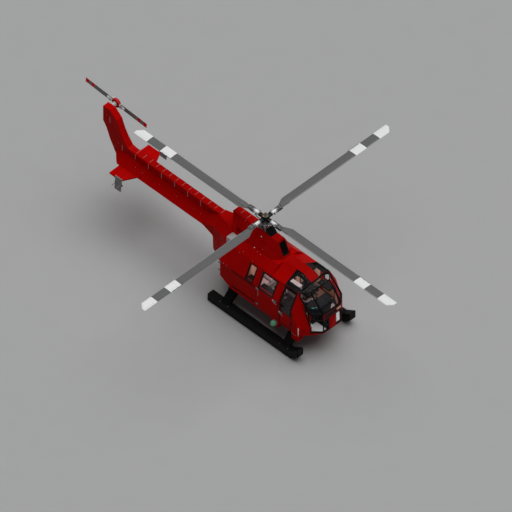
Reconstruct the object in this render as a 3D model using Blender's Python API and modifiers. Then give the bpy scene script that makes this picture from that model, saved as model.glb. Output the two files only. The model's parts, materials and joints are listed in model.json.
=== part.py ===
"""A light twin-engined utility helicopter on skids, as an assembly of separate pieces.

Metres, +X to the nose, +Y to the left (port) side, +Z up. Every size below is measured
from the centre of the rotor mast on the ground line of the skids. One empty carries all
pieces and moves them forward, so that the origin is the middle of the whole machine.
"""

import math

import bmesh
import bpy
from mathutils import Matrix, Vector

# Rotors
ROTOR_R = 4.92
ROTOR_Z = 3.21
ROTOR_LEAD = 0.06
ROTOR_TRAIL = 0.22
BLADE_ROOT = 0.455
TAIL_HUB = Vector((-6.12, 0.30, 3.16))
TAIL_R = 1.185
TAIL_CHORD = 0.17
TAIL_HUB_R = 0.13
TAIL_TILT = math.radians(3.6)

# The machine reaches from the front blade's tip to the tail rotor's rear tip.
TAIL_END = TAIL_HUB.x - TAIL_R * math.cos(TAIL_TILT)
MAST_X = -(ROTOR_R + TAIL_END) / 2

# Cabin section
HALF_WIDTH = 0.875
ROOF_HALF = 0.62
BELLY_HALF = 0.55
BELLY_Z = 0.62
SIDE_BOTTOM = 0.75
WAIST_Z = 1.52
ROOF_EDGE_Z = 2.035
STRIP_HALF = 0.148
STRIP_Z = 2.30
SHOULDER_HALF = 0.376
DECK_Z = 2.28
STEP_X = 0.90
REAR_X = -0.896
FLOOR_TOP = 0.82
WALL = 0.045
SKIN = 0.03
GLASS = 0.006
PANE_DEPTH = 0.010
GAP = 0.0003
DOOR_GAP = 0.006

# Doors and side windows, along X
FRONT_DOOR = (1.405, 1.89)
SLIDING_DOOR = (0.50, 1.33)
DOOR_BOTTOM = 0.776
DOOR_TOP = 1.988
HINGE_X = FRONT_DOOR[1]
BELLY_SEAM = DOOR_BOTTOM - DOOR_GAP
DOOR_POST = 1.373
LOW_SILL = 1.26
WINDOW_TOP = 1.965

# Nose
NOSE_X = 2.62
NOSE_HALF = 0.345
CORNER = Vector((2.362, 0.62, WAIST_Z))
APEX = Vector((1.884, 0.62, 2.015))
BROW = Vector((1.94, STRIP_HALF, 2.13))
BAR = Vector((2.143, 0.378, 2.06))
CHIN_Z = 0.78
FOLD_Z = 0.992
FOLD_START = 1.892
CHEEK_X = 2.128
BAR_HALF = 0.022

# Cowling
RIDGE_HALF = 0.125
RIDGE_Z = 2.79
WELL = (-0.39, 0.10)
GEARBOX_TOP = 2.55
MAST_R = 0.055
HUB_BOTTOM = 3.14

# Boom, fin and tail surfaces
BOOM_START = -2.12
BOOM_END = -5.44
BOOM_TIP = -5.63
FIN_FOOT = -5.50
BOOM_HALF = 0.37
BOOM_WIDE_Z = 1.755
BOOM_TOP_Z = 2.02
BOOM_BOTTOM_Z = 1.53
COVER_HALF = 0.105
COVER_Z = 2.25
STAB_Z = 1.74
STAB_TIP = 0.77
PLATE_Y = 0.89

# Landing gear
SKID_Y = 1.02
SKID_HALF = 0.12
SKID_TOP = 0.27
LEG_X = (-0.50, 1.83)
LEG_HALF = 0.135
LEG_FOOT = SKID_TOP + GAP
LEG = [(0.55, 0.70), (0.66, 0.70), (1.08, LEG_FOOT), (0.92, LEG_FOOT), (0.64, 0.50)]

RED = (0.62, 0.003, 0.002)
BLACK = (0.015, 0.015, 0.016)
DARK = (0.035, 0.035, 0.037)
GREY = (0.22, 0.22, 0.22)
LIGHT = (0.60, 0.60, 0.60)
TAN = (0.42, 0.31, 0.24)
CLEAR = (0.05, 0.06, 0.065)
GREEN = (0.20, 0.55, 0.36)
PORT_RED = (0.70, 0.05, 0.04)

for leftover in list(bpy.data.objects):
    bpy.data.objects.remove(leftover)

parts = bpy.data.collections.new("helicopter")
cutters = bpy.data.collections.new("cutters")
cutters.hide_render = True
bpy.context.scene.collection.children.link(parts)
bpy.context.scene.collection.children.link(cutters)

carrier = bpy.data.objects.new("carrier", None)
carrier.location = (MAST_X, 0, 0)
parts.objects.link(carrier)


def material(name, colour, roughness=0.45, metallic=0.0, alpha=1.0):
    made = bpy.data.materials.new(name)
    made.use_nodes = True
    shader = made.node_tree.nodes["Principled BSDF"]
    shader.inputs["Base Color"].default_value = (*colour, 1)
    shader.inputs["Roughness"].default_value = roughness
    shader.inputs["Metallic"].default_value = metallic
    shader.inputs["Alpha"].default_value = alpha
    made.diffuse_color = (*colour, 1)
    return made


def piece(name, mesh, colour, roughness=0.45, metallic=0.0, alpha=1.0):
    """A visible piece with a material of its own, on the carrier."""
    made = bpy.data.objects.new(name, mesh)
    mesh.materials.clear()
    mesh.materials.append(material(name, colour, roughness, metallic, alpha))
    parts.objects.link(made)
    made.parent = carrier
    return made


def cutter(name, mesh):
    """A helper that only shapes other pieces."""
    made = bpy.data.objects.new(name, mesh)
    cutters.objects.link(made)
    made.parent = carrier
    made.hide_render = True
    made.display_type = "WIRE"
    return made


def boolean(target, other, operation="DIFFERENCE"):
    modifier = target.modifiers.new(other.name, "BOOLEAN")
    modifier.operation = operation
    modifier.object = other
    modifier.solver = "EXACT"
    return target


def keep(target, other):
    return boolean(target, other, "INTERSECT")


def join(target, other):
    return boolean(target, other, "UNION")


def rounded(target, width):
    """Rounds the sharp edges, and leaves the flat facets alone."""
    modifier = target.modifiers.new("rounded", "BEVEL")
    modifier.width = width
    modifier.segments = 2
    modifier.limit_method = "ANGLE"
    modifier.angle_limit = math.radians(35)
    return target


def set_origin(target, point):
    """Puts a moving piece's origin on its joint's axis, with the shape left in place."""
    target.data.transform(Matrix.Translation(-Vector(point)))
    target.location = point
    return target


def mesh_from(name, bm):
    bm.normal_update()
    bmesh.ops.recalc_face_normals(bm, faces=bm.faces)
    mesh = bpy.data.meshes.new(name)
    bm.to_mesh(mesh)
    bm.free()
    return mesh


def prism(name, outline, along):
    """A flat outline pushed along a vector."""
    bm = bmesh.new()
    face = bm.faces.new([bm.verts.new(point) for point in outline])
    pushed = bmesh.ops.extrude_face_region(bm, geom=[face])["geom"]
    moved = [item for item in pushed if isinstance(item, bmesh.types.BMVert)]
    bmesh.ops.translate(bm, verts=moved, vec=Vector(along))
    return mesh_from(name, bm)


def side_prism(name, outline, low, high):
    """An outline in X and Z, from one Y to another."""
    return prism(name, [(x, low, z) for x, z in outline], (0, high - low, 0))


def front_prism(name, outline, low, high):
    """An outline in Y and Z, from one X to another."""
    return prism(name, [(low, y, z) for y, z in outline], (high - low, 0, 0))


def top_prism(name, outline, low, high):
    """An outline in X and Y, from one Z to another."""
    return prism(name, [(x, y, low) for x, y in outline], (0, 0, high - low))


def box(name, low, high):
    bm = bmesh.new()
    bmesh.ops.create_cube(bm, size=1)
    size = Vector(high) - Vector(low)
    bmesh.ops.scale(bm, vec=size, verts=bm.verts)
    bmesh.ops.translate(bm, vec=(Vector(high) + Vector(low)) / 2, verts=bm.verts)
    return mesh_from(name, bm)


def cylinder(name, start, end, radius, sides=24):
    bm = bmesh.new()
    start, end = Vector(start), Vector(end)
    along = end - start
    bmesh.ops.create_cone(
        bm,
        cap_ends=True,
        segments=sides,
        radius1=radius,
        radius2=radius,
        depth=along.length,
    )
    turn = along.to_track_quat("Z", "Y").to_matrix().to_4x4()
    bm.transform(Matrix.Translation((start + end) / 2) @ turn)
    return mesh_from(name, bm)


def hull(name, points):
    """The faceted skin stretched over a few corner points."""
    bm = bmesh.new()
    for point in points:
        bm.verts.new(point)
    made = bmesh.ops.convex_hull(bm, input=bm.verts)
    spare = set(made["geom_unused"]) | set(made["geom_interior"])
    bmesh.ops.delete(bm, geom=list(spare), context="VERTS")
    bmesh.ops.dissolve_limit(bm, angle_limit=0.002, verts=bm.verts, edges=bm.edges)
    return mesh_from(name, bm)


def loft(name, rings):
    """A skin through closed rings with the same number of points, capped at both ends."""
    bm = bmesh.new()
    loops = [[bm.verts.new(point) for point in ring] for ring in rings]
    for first, second in zip(loops, loops[1:]):
        for i in range(len(first)):
            after = (i + 1) % len(first)
            bm.faces.new((first[i], first[after], second[after], second[i]))
    bm.faces.new(loops[0])
    bm.faces.new(loops[-1])
    bmesh.ops.triangulate(bm, faces=bm.faces)
    return mesh_from(name, bm)


def both(points):
    """The given left-side points and their mirror images."""
    return [Vector(p) for p in points] + [Vector((p[0], -p[1], p[2])) for p in points]


def shrunk_outline(points, inset):
    """The corners of a flat outline, moved inwards along its two sides by the same width."""
    points = [Vector(p) for p in points]
    normal = (points[1] - points[0]).cross(points[2] - points[0]).normalized()
    moved = []
    for i, corner in enumerate(points):
        before = (corner - points[i - 1]).normalized()
        after = (points[(i + 1) % len(points)] - corner).normalized()
        half = normal.cross(before) + normal.cross(after)
        reach = inset / max(0.3, half.normalized().dot(normal.cross(after)))
        moved.append(corner + half.normalized() * reach)
    return moved


def window(name, corners, inset, depth=0.14):
    """A cutter through a facet: its corners moved in by a frame bar's width."""
    points = shrunk_outline(corners, inset)
    normal = (points[1] - points[0]).cross(points[2] - points[0]).normalized()
    return cutter(name, prism(name, [p - normal * depth for p in points], normal * 2 * depth))


# Cabin hull


def cabin_points(inset):
    """The cabin's corner points, all moved towards its middle by the wall's thickness."""
    tail = REAR_X - (0.2 if inset else 0)
    left = [
        (tail, HALF_WIDTH, 0.96),
        (tail, HALF_WIDTH, WAIST_Z),
        (tail, ROOF_HALF, ROOF_EDGE_Z),
        (tail, STRIP_HALF, STRIP_Z),
        (tail, BELLY_HALF, 0.90),
        (-0.43, HALF_WIDTH, 0.72),
        (-0.43, BELLY_HALF, BELLY_Z),
        (1.884, HALF_WIDTH, SIDE_BOTTOM),
        (1.884, BELLY_HALF, BELLY_Z),
        (1.884, HALF_WIDTH, WAIST_Z),
        (1.36, ROOF_HALF, ROOF_EDGE_Z),
        (1.40, STRIP_HALF, STRIP_Z),
        (1.645, STRIP_HALF, STRIP_Z),
        APEX,
        BROW,
        BAR,
        (NOSE_X, NOSE_HALF, WAIST_Z),
        (NOSE_X, NOSE_HALF, CHIN_Z),
        (2.50, 0.25, 0.70),
        CORNER,
        (CORNER.x, CORNER.y, CHIN_Z),
        (CORNER.x, CORNER.y, 0.72),
        (CHEEK_X, HALF_WIDTH, FOLD_Z),
        (CHEEK_X, HALF_WIDTH, 0.72),
    ]
    moved = []
    for x, y, z in left:
        up = 1 if z < 1.3 else -1
        forward = 1 if x > 2.3 else 0
        moved.append((x - forward * inset, y - inset, z + up * inset))
    return both(moved)


def fold_x(z, inset):
    """How far forward the fold between the cheek and the canopy's side lies at one height."""
    top = Vector((FOLD_START, ROOF_HALF, ROOF_EDGE_Z))
    waist = Vector((FOLD_START, HALF_WIDTH, WAIST_Z))
    cheek = Vector((CHEEK_X, HALF_WIDTH, FOLD_Z))
    facing = (cheek - waist).cross(top - waist).normalized()
    if facing.x < 0:
        facing = -facing
    rise = facing.y * (CORNER.y - inset - HALF_WIDTH) + facing.z * (z - WAIST_Z)
    return FOLD_START - (inset + rise) / facing.x, -facing.y / facing.x


def fold_wedge(name, side, inset):
    """What the canopy's narrower side leaves out beside the cheek, as a slanted prism."""
    (low, slope), (high, _) = fold_x(0.4, inset), fold_x(2.6, inset)
    y = CORNER.y - inset
    outline = [(low, y), (low + 1.5, y), (low + 1.5, y + 0.6), (low + 0.6 * slope, y + 0.6)]
    outline = [(x, side * y, 0.4) for x, y in outline]
    return cutter(name, prism(name, outline, (high - low, 0, 2.2)))


def cabin_shape(name, inset):
    """The cabin's hull with the fold on each side of the canopy cut in."""
    made = cutter(name, hull(name, cabin_points(inset)))
    for side, word in ((-1, "right"), (1, "left")):
        boolean(made, fold_wedge(f"{name}_fold_{word}", side, inset))
    return made


def cut_mesh(target):
    """A helper's mesh with its cuts applied."""
    graph = bpy.context.evaluated_depsgraph_get()
    return bpy.data.meshes.new_from_object(target.evaluated_get(graph))


cabin_skin = cut_mesh(cabin_shape("cabin_skin", 0))
cabin_room = cabin_shape("cabin_room", WALL)
frame_room = cabin_shape("frame_room", SKIN)
glass_skin = cut_mesh(cabin_shape("glass_skin", SKIN + GAP))
glass_room = cabin_shape("glass_room", SKIN + GAP + GLASS)
pane_skin = cut_mesh(cabin_shape("pane_skin", PANE_DEPTH))
pane_room = cabin_shape("pane_room", PANE_DEPTH + GLASS)
inner_skin = cut_mesh(cabin_shape("inner_skin", WALL + GAP))
skin_seat = cutter("skin_seat", hull("skin_seat", cabin_points(-GAP)))


def rectangle(x_range, z_range):
    (x0, x1), (z0, z1) = x_range, z_range
    return [(x0, z0), (x1, z0), (x1, z1), (x0, z1)]


def side_region(name, outline, side):
    """The space outside the cabin's middle on one side, inside an outline in X and Z."""
    low, high = (0.3, 1.2) if side > 0 else (-1.2, -0.3)
    return cutter(name, side_prism(name, outline, low, high))


def grown(outline, by):
    """A rectangle's corners moved away from its middle, or towards it where by is negative."""
    middle_x = sum(x for x, z in outline) / len(outline)
    middle_z = sum(z for x, z in outline) / len(outline)
    return [
        (x + (by if x > middle_x else -by), z + (by if z > middle_z else -by))
        for x, z in outline
    ]


QUARTER_WINDOW = [(0.10, WAIST_Z), (0.34, WAIST_Z), (0.34, WINDOW_TOP), (0.10, WINDOW_TOP)]
SLIDING_WINDOW = [(0.60, WAIST_Z), (1.13, WAIST_Z), (1.13, WINDOW_TOP), (0.60, WINDOW_TOP)]
FRONT_WINDOW = [(1.44, LOW_SILL), (1.85, LOW_SILL), (1.85, WINDOW_TOP), (1.44, WINDOW_TOP)]

for side, word in ((-1, "right"), (1, "left")):
    frame = piece(f"side_frame_{word}", cabin_skin.copy(), RED, 0.35)
    foot = BELLY_SEAM + GAP
    outline = [(-1.0, foot), (DOOR_POST, foot)]
    outline += [(DOOR_POST, DOOR_TOP + DOOR_GAP), (HINGE_X - GAP, DOOR_TOP + DOOR_GAP)]
    outline += [(HINGE_X - GAP, ROOF_EDGE_Z), (-1.0, ROOF_EDGE_Z)]
    keep(frame, side_region(f"side_frame_space_{word}", outline, side))
    boolean(frame, cabin_room)
    opening = rectangle(SLIDING_DOOR, (0.80, DOOR_TOP))
    slot = side_region(f"sliding_opening_{word}", grown(opening, GAP), side)
    boolean(frame, slot)
    pane_hole = side_region(f"quarter_opening_{word}", QUARTER_WINDOW, side)
    boolean(frame, pane_hole)

    sliding = piece(f"sliding_door_{word}", cabin_skin.copy(), RED, 0.35)
    keep(sliding, side_region(f"sliding_space_{word}", opening, side))
    boolean(sliding, cabin_room)
    boolean(sliding, side_region(f"sliding_window_{word}", SLIDING_WINDOW, side))

    hinge = Vector((HINGE_X, side * HALF_WIDTH, 0))
    front = piece(f"front_door_{word}", cabin_skin.copy(), RED, 0.35)
    leaf = rectangle((FRONT_DOOR[0], HINGE_X - GAP), (DOOR_BOTTOM, DOOR_TOP))
    keep(front, side_region(f"front_door_space_{word}", leaf, side))
    boolean(front, cabin_room)
    boolean(front, side_region(f"front_window_{word}", FRONT_WINDOW, side))
    set_origin(front, hinge)

    panes = (
        (f"quarter_glass_{word}", QUARTER_WINDOW),
        (f"sliding_glass_{word}", SLIDING_WINDOW),
        (f"front_door_glass_{word}", FRONT_WINDOW),
    )
    for name, hole in panes:
        glass = piece(name, pane_skin.copy(), CLEAR, 0.05, 0, 0.35)
        keep(glass, side_region(name + "_space", grown(hole, -GAP), side))
        boolean(glass, pane_room)
        if name.startswith("front_door"):
            set_origin(glass, hinge)

belly = piece("belly", cabin_skin.copy(), RED, 0.4)
belly_space = box("belly_space", (-1, -1, 0.4), (HINGE_X - GAP, 1, BELLY_SEAM))
keep(belly, cutter("belly_space", belly_space))
boolean(belly, cabin_room)

floor = piece("cabin_floor", inner_skin.copy(), DARK, 0.8)
floor_space = box("floor_space", (-0.84, -1, FLOOR_TOP - 0.04), (2.25, 1, FLOOR_TOP))
keep(floor, cutter("floor_space", floor_space))

bulkhead = piece("cabin_bulkhead", inner_skin.copy(), TAN, 0.8)
bulkhead_top = DECK_Z - WALL - GAP
bulkhead_space = box("bulkhead_space", (-0.17, -1, FLOOR_TOP + GAP), (-0.13, 1, bulkhead_top))
keep(bulkhead, cutter("bulkhead_space", bulkhead_space))

# Roof: the front part is cut from the cabin's hull, the rear part is an arch

roof_front = piece("roof_front", cabin_skin.copy(), RED, 0.35)
strip = [(STEP_X + GAP, -1), (1.385, -1), (1.385, -STRIP_HALF), (1.93, -STRIP_HALF)]
roof_space = strip + [(x, -y) for x, y in reversed(strip)]
keep(roof_front, cutter("roof_space", top_prism("roof_space", roof_space, ROOF_EDGE_Z + GAP, 2.6)))
boolean(roof_front, cabin_room)

arch = [(ROOF_HALF, ROOF_EDGE_Z + GAP), (SHOULDER_HALF, DECK_Z)]
inner_arch = [(ROOF_HALF - 0.065, ROOF_EDGE_Z - 0.1), (ROOF_HALF - 0.065, ROOF_EDGE_Z + GAP)]
inner_arch += [(SHOULDER_HALF - 0.02, DECK_Z - WALL)]
arch += [(-y, z) for y, z in reversed(arch)]
inner_arch += [(-y, z) for y, z in reversed(inner_arch)]
roof_rear = piece("roof_rear", front_prism("roof_rear", arch, REAR_X, STEP_X), RED, 0.35)
boolean(roof_rear, cutter("roof_rear_room", front_prism("roof_rear_room", inner_arch, -1, 0.86)))

# Nose and canopy

nose = piece("nose_shell", cabin_skin.copy(), RED, 0.35)
nose_outline = [(HINGE_X + GAP, 0.4), (HINGE_X + GAP, ROOF_EDGE_Z - GAP)]
nose_outline += [(1.898, ROOF_EDGE_Z - GAP), (2.362, 0.997), (2.362, 0.80), (2.8, 0.80), (2.8, 0.4)]
keep(nose, cutter("nose_space", side_prism("nose_space", nose_outline, -1, 1)))
STEP_BOX = [(0.64, 0.484), (HALF_WIDTH, 0.484), (HALF_WIDTH, 0.76), (0.64, 0.76)]
leg_seat = shrunk_outline([(0, y, z) for y, z in LEG], -GAP)
leg_seat = [(p.y, p.z) for p in leg_seat]
for side, word in ((-1, "right"), (1, "left")):
    step_box = [(side * y, z) for y, z in STEP_BOX]
    step_mesh = front_prism(f"step_box_{word}", step_box, HINGE_X + GAP, CHEEK_X)
    join(nose, cutter(f"step_box_{word}", step_mesh))
    seat_outline = [(side * y, z) for y, z in leg_seat]
    seat_mesh = front_prism(f"leg_seat_{word}", seat_outline, 1.6, LEG_X[1] + LEG_HALF + GAP)
    boolean(nose, cutter(f"leg_seat_{word}", seat_mesh))
boolean(nose, cabin_room)

canopy_outline = [(1.385 + GAP, ROOF_EDGE_Z + GAP), (1.8986, ROOF_EDGE_Z + GAP)]
canopy_outline += [(2.3626, 0.9975), (2.3626, 0.8006), (2.8, 0.8006)]
canopy_outline += [(2.8, 2.6), (1.385 + GAP, 2.6)]
canopy_space = cutter("canopy_space", side_prism("canopy_space", canopy_outline, -1, 1))
grown_strip = [(1.3, -STRIP_HALF - GAP), (1.93 + GAP, -STRIP_HALF - GAP)]
grown_strip += [(1.93 + GAP, STRIP_HALF + GAP), (1.3, STRIP_HALF + GAP)]
strip_space = cutter("strip_space", top_prism("strip_space", grown_strip, 1.9, 2.6))

canopy = piece("canopy_frame", cabin_skin.copy(), BLACK, 0.4)
keep(canopy, canopy_space)
boolean(canopy, frame_room)
boolean(canopy, strip_space)


def mirrored(points):
    return [Vector((p[0], -p[1], p[2])) for p in points]


def vertical_window(name, corners, inset):
    flat = [Vector((p[0], p[1], 0)) for p in corners]
    outline = [(p.x, p.y) for p in shrunk_outline(flat, inset)]
    return cutter(name, top_prism(name, outline, 1.8, 2.6))


roof_pane = [(1.40, STRIP_HALF, 0), (1.40, ROOF_HALF - 0.02, 0), APEX, BROW]
corner_pane = [APEX, BAR, (NOSE_X, NOSE_HALF, WAIST_Z), CORNER]
corner_foot = Vector((CORNER.x, CORNER.y, FOLD_Z))
side_pane = [APEX, CORNER, corner_foot]
facet_foot = Vector((NOSE_X, NOSE_HALF, LOW_SILL))
corner_low = Vector((CORNER.x, CORNER.y, LOW_SILL))
brow_z = WAIST_Z - 0.02
upper_facet = [(*CORNER.xy, brow_z), (NOSE_X, NOSE_HALF, brow_z), facet_foot, corner_low]
chin_z = CHIN_Z + 0.04
lower_facet = [corner_low, facet_foot, (NOSE_X, NOSE_HALF, chin_z), (*CORNER.xy, chin_z)]
front_low = [(NOSE_X, 0.12, LOW_SILL), (NOSE_X, NOSE_HALF, LOW_SILL)]
front_low += [(NOSE_X, NOSE_HALF, chin_z), (NOSE_X, 0.12, chin_z)]
facets = {
    "corner_pane": corner_pane,
    "side_pane": side_pane,
    "upper_facet": upper_facet,
    "lower_facet": lower_facet,
    "front_low": front_low,
}
for word, turn in (("left", lambda points: points), ("right", mirrored)):
    boolean(canopy, vertical_window(f"roof_pane_{word}", turn(roof_pane), BAR_HALF))
    for name, corners in facets.items():
        boolean(canopy, window(f"{name}_{word}", turn(corners), BAR_HALF))
brow_pane = [BROW, APEX, BAR] + mirrored([BAR, APEX, BROW])
boolean(canopy, vertical_window("brow_pane", brow_pane, BAR_HALF))
windscreen = [BAR, (NOSE_X, NOSE_HALF, WAIST_Z)]
windscreen += mirrored(reversed(windscreen))
boolean(canopy, window("windscreen", windscreen, BAR_HALF))

canopy_glass = piece("canopy_glass", glass_skin.copy(), CLEAR, 0.05, 0, 0.35)
keep(canopy_glass, canopy_space)
boolean(canopy_glass, glass_room)
boolean(canopy_glass, strip_space)

# Rear body, boom root and clamshell doors


def ring(x, points, inset=0.0):
    """A closed ring from its left half, bottom to top, moved inwards by the inset."""
    middle = (points[0][1] + points[-1][1]) / 2
    left = []
    for y, z in points:
        up = inset if z < middle else -inset
        left.append(Vector((x, y - inset, z + up)))
    return left + [Vector((p.x, -p.y, p.z)) for p in reversed(left)]


REAR_SECTIONS = [
    (REAR_X - GAP, [(0.55, 0.90), (0.875, 0.96), (0.875, 1.52), (0.62, 2.035), (0.376, 2.28)]),
    (-1.255, [(0.35, 0.96), (0.516, 0.98), (0.516, 1.52), (0.455, 1.99), (0.22, 2.265)]),
    (-1.67, [(0.25, 1.09), (0.37, 1.11), (0.37, 1.56), (0.37, 1.97), (0.13, 2.25)]),
    (-1.72, [(0.20, 1.53), (0.34, 1.56), (0.37, 1.60), (0.37, 1.95), (0.125, 2.21)]),
    (BOOM_START, [(0.20, 1.53), (0.34, 1.70), (0.37, 1.755), (0.35, 1.775), (0.106, 2.019)]),
]
rear_skin = loft("rear_skin", [ring(x, points) for x, points in REAR_SECTIONS])


def rear_room(name, inset):
    shifts = (0.1, 0.0, inset, inset * 0.5, -0.1)
    rings = [ring(x + shift, points, inset) for shift, (x, points) in zip(shifts, REAR_SECTIONS)]
    return cutter(name, loft(name, rings))


door_room = rear_room("door_room", 0.035)
boom_root_room = rear_room("boom_root_room", 0.022)

HATCH_TOP = 1.50
HATCH_BOTTOM = 1.12
rear_body = piece("rear_body", rear_skin.copy(), RED, 0.35)
rear_body_space = box("rear_body_space", (-3, -1, HATCH_TOP + DOOR_GAP), (0, 1, 3))
keep(rear_body, cutter("rear_body_space", rear_body_space))
boolean(rear_body, boom_root_room)

rear_floor = piece("rear_floor", rear_skin.copy(), RED, 0.4)
rear_floor_space = box("rear_floor_space", (-3, -1, 0.5), (0, 1, HATCH_BOTTOM - DOOR_GAP))
keep(rear_floor, cutter("rear_floor_space", rear_floor_space))
boolean(rear_floor, door_room)

for side, word in ((-1, "right"), (1, "left")):
    near, far = sorted((side * 0.004, side * 1.2))
    hatch = piece(f"rear_door_{word}", rear_skin.copy(), RED, 0.35)
    space = box(f"rear_door_space_{word}", (-3, near, HATCH_BOTTOM), (0, far, HATCH_TOP))
    keep(hatch, cutter(f"rear_door_space_{word}", space))
    boolean(hatch, door_room)
    set_origin(hatch, (REAR_X, side * HALF_WIDTH, 0))

# Engine bay

cowl_left = [
    (-0.90, 0.38, DECK_Z + GAP),
    (0.63, SHOULDER_HALF, DECK_Z + GAP),
    (0.85, 0.137, DECK_Z + GAP),
    (-1.14, 0.12, DECK_Z + GAP),
    (-0.87, 0.13, RIDGE_Z),
    (-1.13, 0.13, RIDGE_Z),
    (0.62, RIDGE_HALF, RIDGE_Z),
]


def cowl_inner(point):
    x, y, z = point
    end = 0.03 if x < -1 or x > 0.6 else 0.0
    down = z - 0.03 if z > 2.5 else z - 0.1
    return (x - math.copysign(end, x), y - 0.03, down)


cowling = piece("engine_cowling", hull("engine_cowling", both(cowl_left)), RED, 0.35)
bay = hull("engine_bay", both([cowl_inner(p) for p in cowl_left]))
boolean(cowling, cutter("engine_bay", bay))
well = box("mast_well", (WELL[0], -0.1, 2.6), (WELL[1], 0.1, 3))
boolean(cowling, cutter("mast_well", well))
intake_hole = box("intake_hole", (0.5, -0.115, 2.33), (1.0, 0.115, 2.74))
boolean(cowling, cutter("intake_hole", intake_hole))

intake_outline = [(0.46, 2.31), (0.76, 2.31), (0.76, 2.329), (0.48, 2.329)]
intake_outline += [(0.48, 2.72), (0.46, 2.72)]
intake = piece("air_intake", side_prism("air_intake", intake_outline, -0.09, 0.09), BLACK, 0.6)

fairing_outline = [(0.165, RIDGE_Z + GAP), (0.165, 2.985), (0.36, RIDGE_Z + GAP)]
mast_fairing = side_prism("mast_fairing", fairing_outline, -0.125, 0.125)
rounded(piece("mast_fairing", mast_fairing, BLACK, 0.5), 0.012)

for side, word in ((-1, "right"), (1, "left")):
    outer = [(0.381, 2.276), (0.63, 2.027), (0.63, 2.29), (0.381, 2.29)]
    inner = [(0.44, 2.255), (0.60, 2.095), (0.60, 2.265), (0.44, 2.265)]
    stack = [(side * y, z) for y, z in outer]
    mouth = [(side * y, z) for y, z in inner]
    pipe = front_prism(f"exhaust_{word}", stack, -0.89, -0.69)
    pipe = piece(f"exhaust_{word}", pipe, LIGHT, 0.4, 0.6)
    boolean(pipe, cutter(f"exhaust_mouth_{word}", front_prism("mouth", mouth, -1.0, -0.72)))

engine_base = [(-0.92, 0.26, DECK_Z + GAP), (-0.45, 0.26, DECK_Z + GAP)]
engine_crown = [(-0.90, 0.14, 2.64), (-0.45, 0.14, 2.64)]
engines = hull("engines", both(engine_base + engine_crown))
rounded(piece("engines", engines, GREY, 0.5, 0.7), 0.02)

gearbox_low = [(-0.36, 0.2, DECK_Z + GAP), (0.36, 0.2, DECK_Z + GAP)]
gearbox_high = [(-0.2, 0.12, GEARBOX_TOP), (0.2, 0.12, GEARBOX_TOP)]
gearbox = hull("main_gearbox", both(gearbox_low + gearbox_high))
rounded(piece("main_gearbox", gearbox, GREY, 0.5, 0.7), 0.02)

# Main rotor: mast, swashplate, hub with its blade grips, four blades

hub_origin = Vector((0, 0, ROTOR_Z))
mast = cylinder("rotor_mast", (0, 0, GEARBOX_TOP + GAP), (0, 0, HUB_BOTTOM - GAP), MAST_R)
mast = piece("rotor_mast", mast, GREY, 0.3, 0.9)
set_origin(mast, hub_origin)

swash = cylinder("swashplate", (0, 0, 3.02), (0, 0, 3.06), 0.14)
swash = piece("swashplate", swash, GREY, 0.4, 0.6)
swash_hole = cylinder("swash_hole", (0, 0, 2.9), (0, 0, 3.13), MAST_R + GAP)
boolean(swash, cutter("swash_hole", swash_hole))
for i in range(4):
    angle = math.radians(45 + 90 * i)
    low = Vector((0.12 * math.cos(angle), 0.12 * math.sin(angle), 2.80))
    high = Vector((low.x, low.y, 3.13))
    rod = cylinder(f"pitch_rod_{i}", low, high, 0.016, sides=12)
    join(swash, cutter(f"pitch_rod_{i}", rod))
set_origin(swash, hub_origin)

hub = box("rotor_hub", (-0.085, -0.085, HUB_BOTTOM), (0.085, 0.085, 3.30))
hub = piece("rotor_hub", hub, DARK, 0.4, 0.4)
for i in range(4):
    turn = Matrix.Rotation(math.radians(90 * i), 4, "Z")
    arm = box(f"hub_arm_{i}", (0.05, -0.05, 3.17), (0.24, 0.05, 3.25))
    arm.transform(turn)
    join(hub, cutter(f"hub_arm_{i}", arm))
    grip_end = (BLADE_ROOT - GAP, 0, ROTOR_Z)
    grip = cylinder(f"grip_{i}", (0.20, 0, ROTOR_Z), grip_end, 0.048, sides=16)
    grip.transform(turn)
    join(hub, cutter(f"grip_{i}", grip))
set_origin(hub, hub_origin)


def blade_section(radius, lead, trail, height):
    """A thin aerofoil: round nose, thickest at a quarter chord, sharp tail."""
    chord = trail + lead
    upper = [(0.0, 0.0), (0.05, 0.55), (0.25, 1.0), (0.6, 0.65), (1.0, 0.08)]
    lower = [(1.0, -0.08), (0.6, -0.35), (0.25, -0.6), (0.05, -0.4)]
    return [Vector((radius, -lead + u * chord, height * v)) for u, v in upper + lower]


BLADE_STATIONS = [
    (BLADE_ROOT, 0.04, 0.06, 0.035),
    (0.60, 0.05, 0.10, 0.028),
    (0.85, ROTOR_LEAD, ROTOR_TRAIL, 0.02),
    (4.78, ROTOR_LEAD, ROTOR_TRAIL, 0.016),
    (ROTOR_R, -0.10, ROTOR_TRAIL, 0.010),
]
blade_mesh = loft("main_blade", [blade_section(*station) for station in BLADE_STATIONS])
for i, word in enumerate(("front", "left", "rear", "right")):
    blade = piece(f"main_blade_{word}", blade_mesh.copy(), GREY, 0.5)
    blade.location = hub_origin
    blade.rotation_euler = (0, 0, math.radians(90 * i))

# Tail boom, drive shaft cover, fin

BOOM_RING = [(0.20, BOOM_BOTTOM_Z), (0.34, 1.70), (BOOM_HALF, BOOM_WIDE_Z), (0.35, 1.775)]
BOOM_RING += [(COVER_HALF, BOOM_TOP_Z)]
TIP_RING = [(0.12, 1.62), (0.17, 1.70), (0.20, 1.76), (0.20, 1.90), (COVER_HALF, 1.99)]
boom_rings = [ring(x, BOOM_RING) for x in (BOOM_START - GAP, BOOM_END)]
boom_rings.append(ring(BOOM_TIP, TIP_RING))
boom = piece("tail_boom", loft("tail_boom", boom_rings), RED, 0.35)

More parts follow.
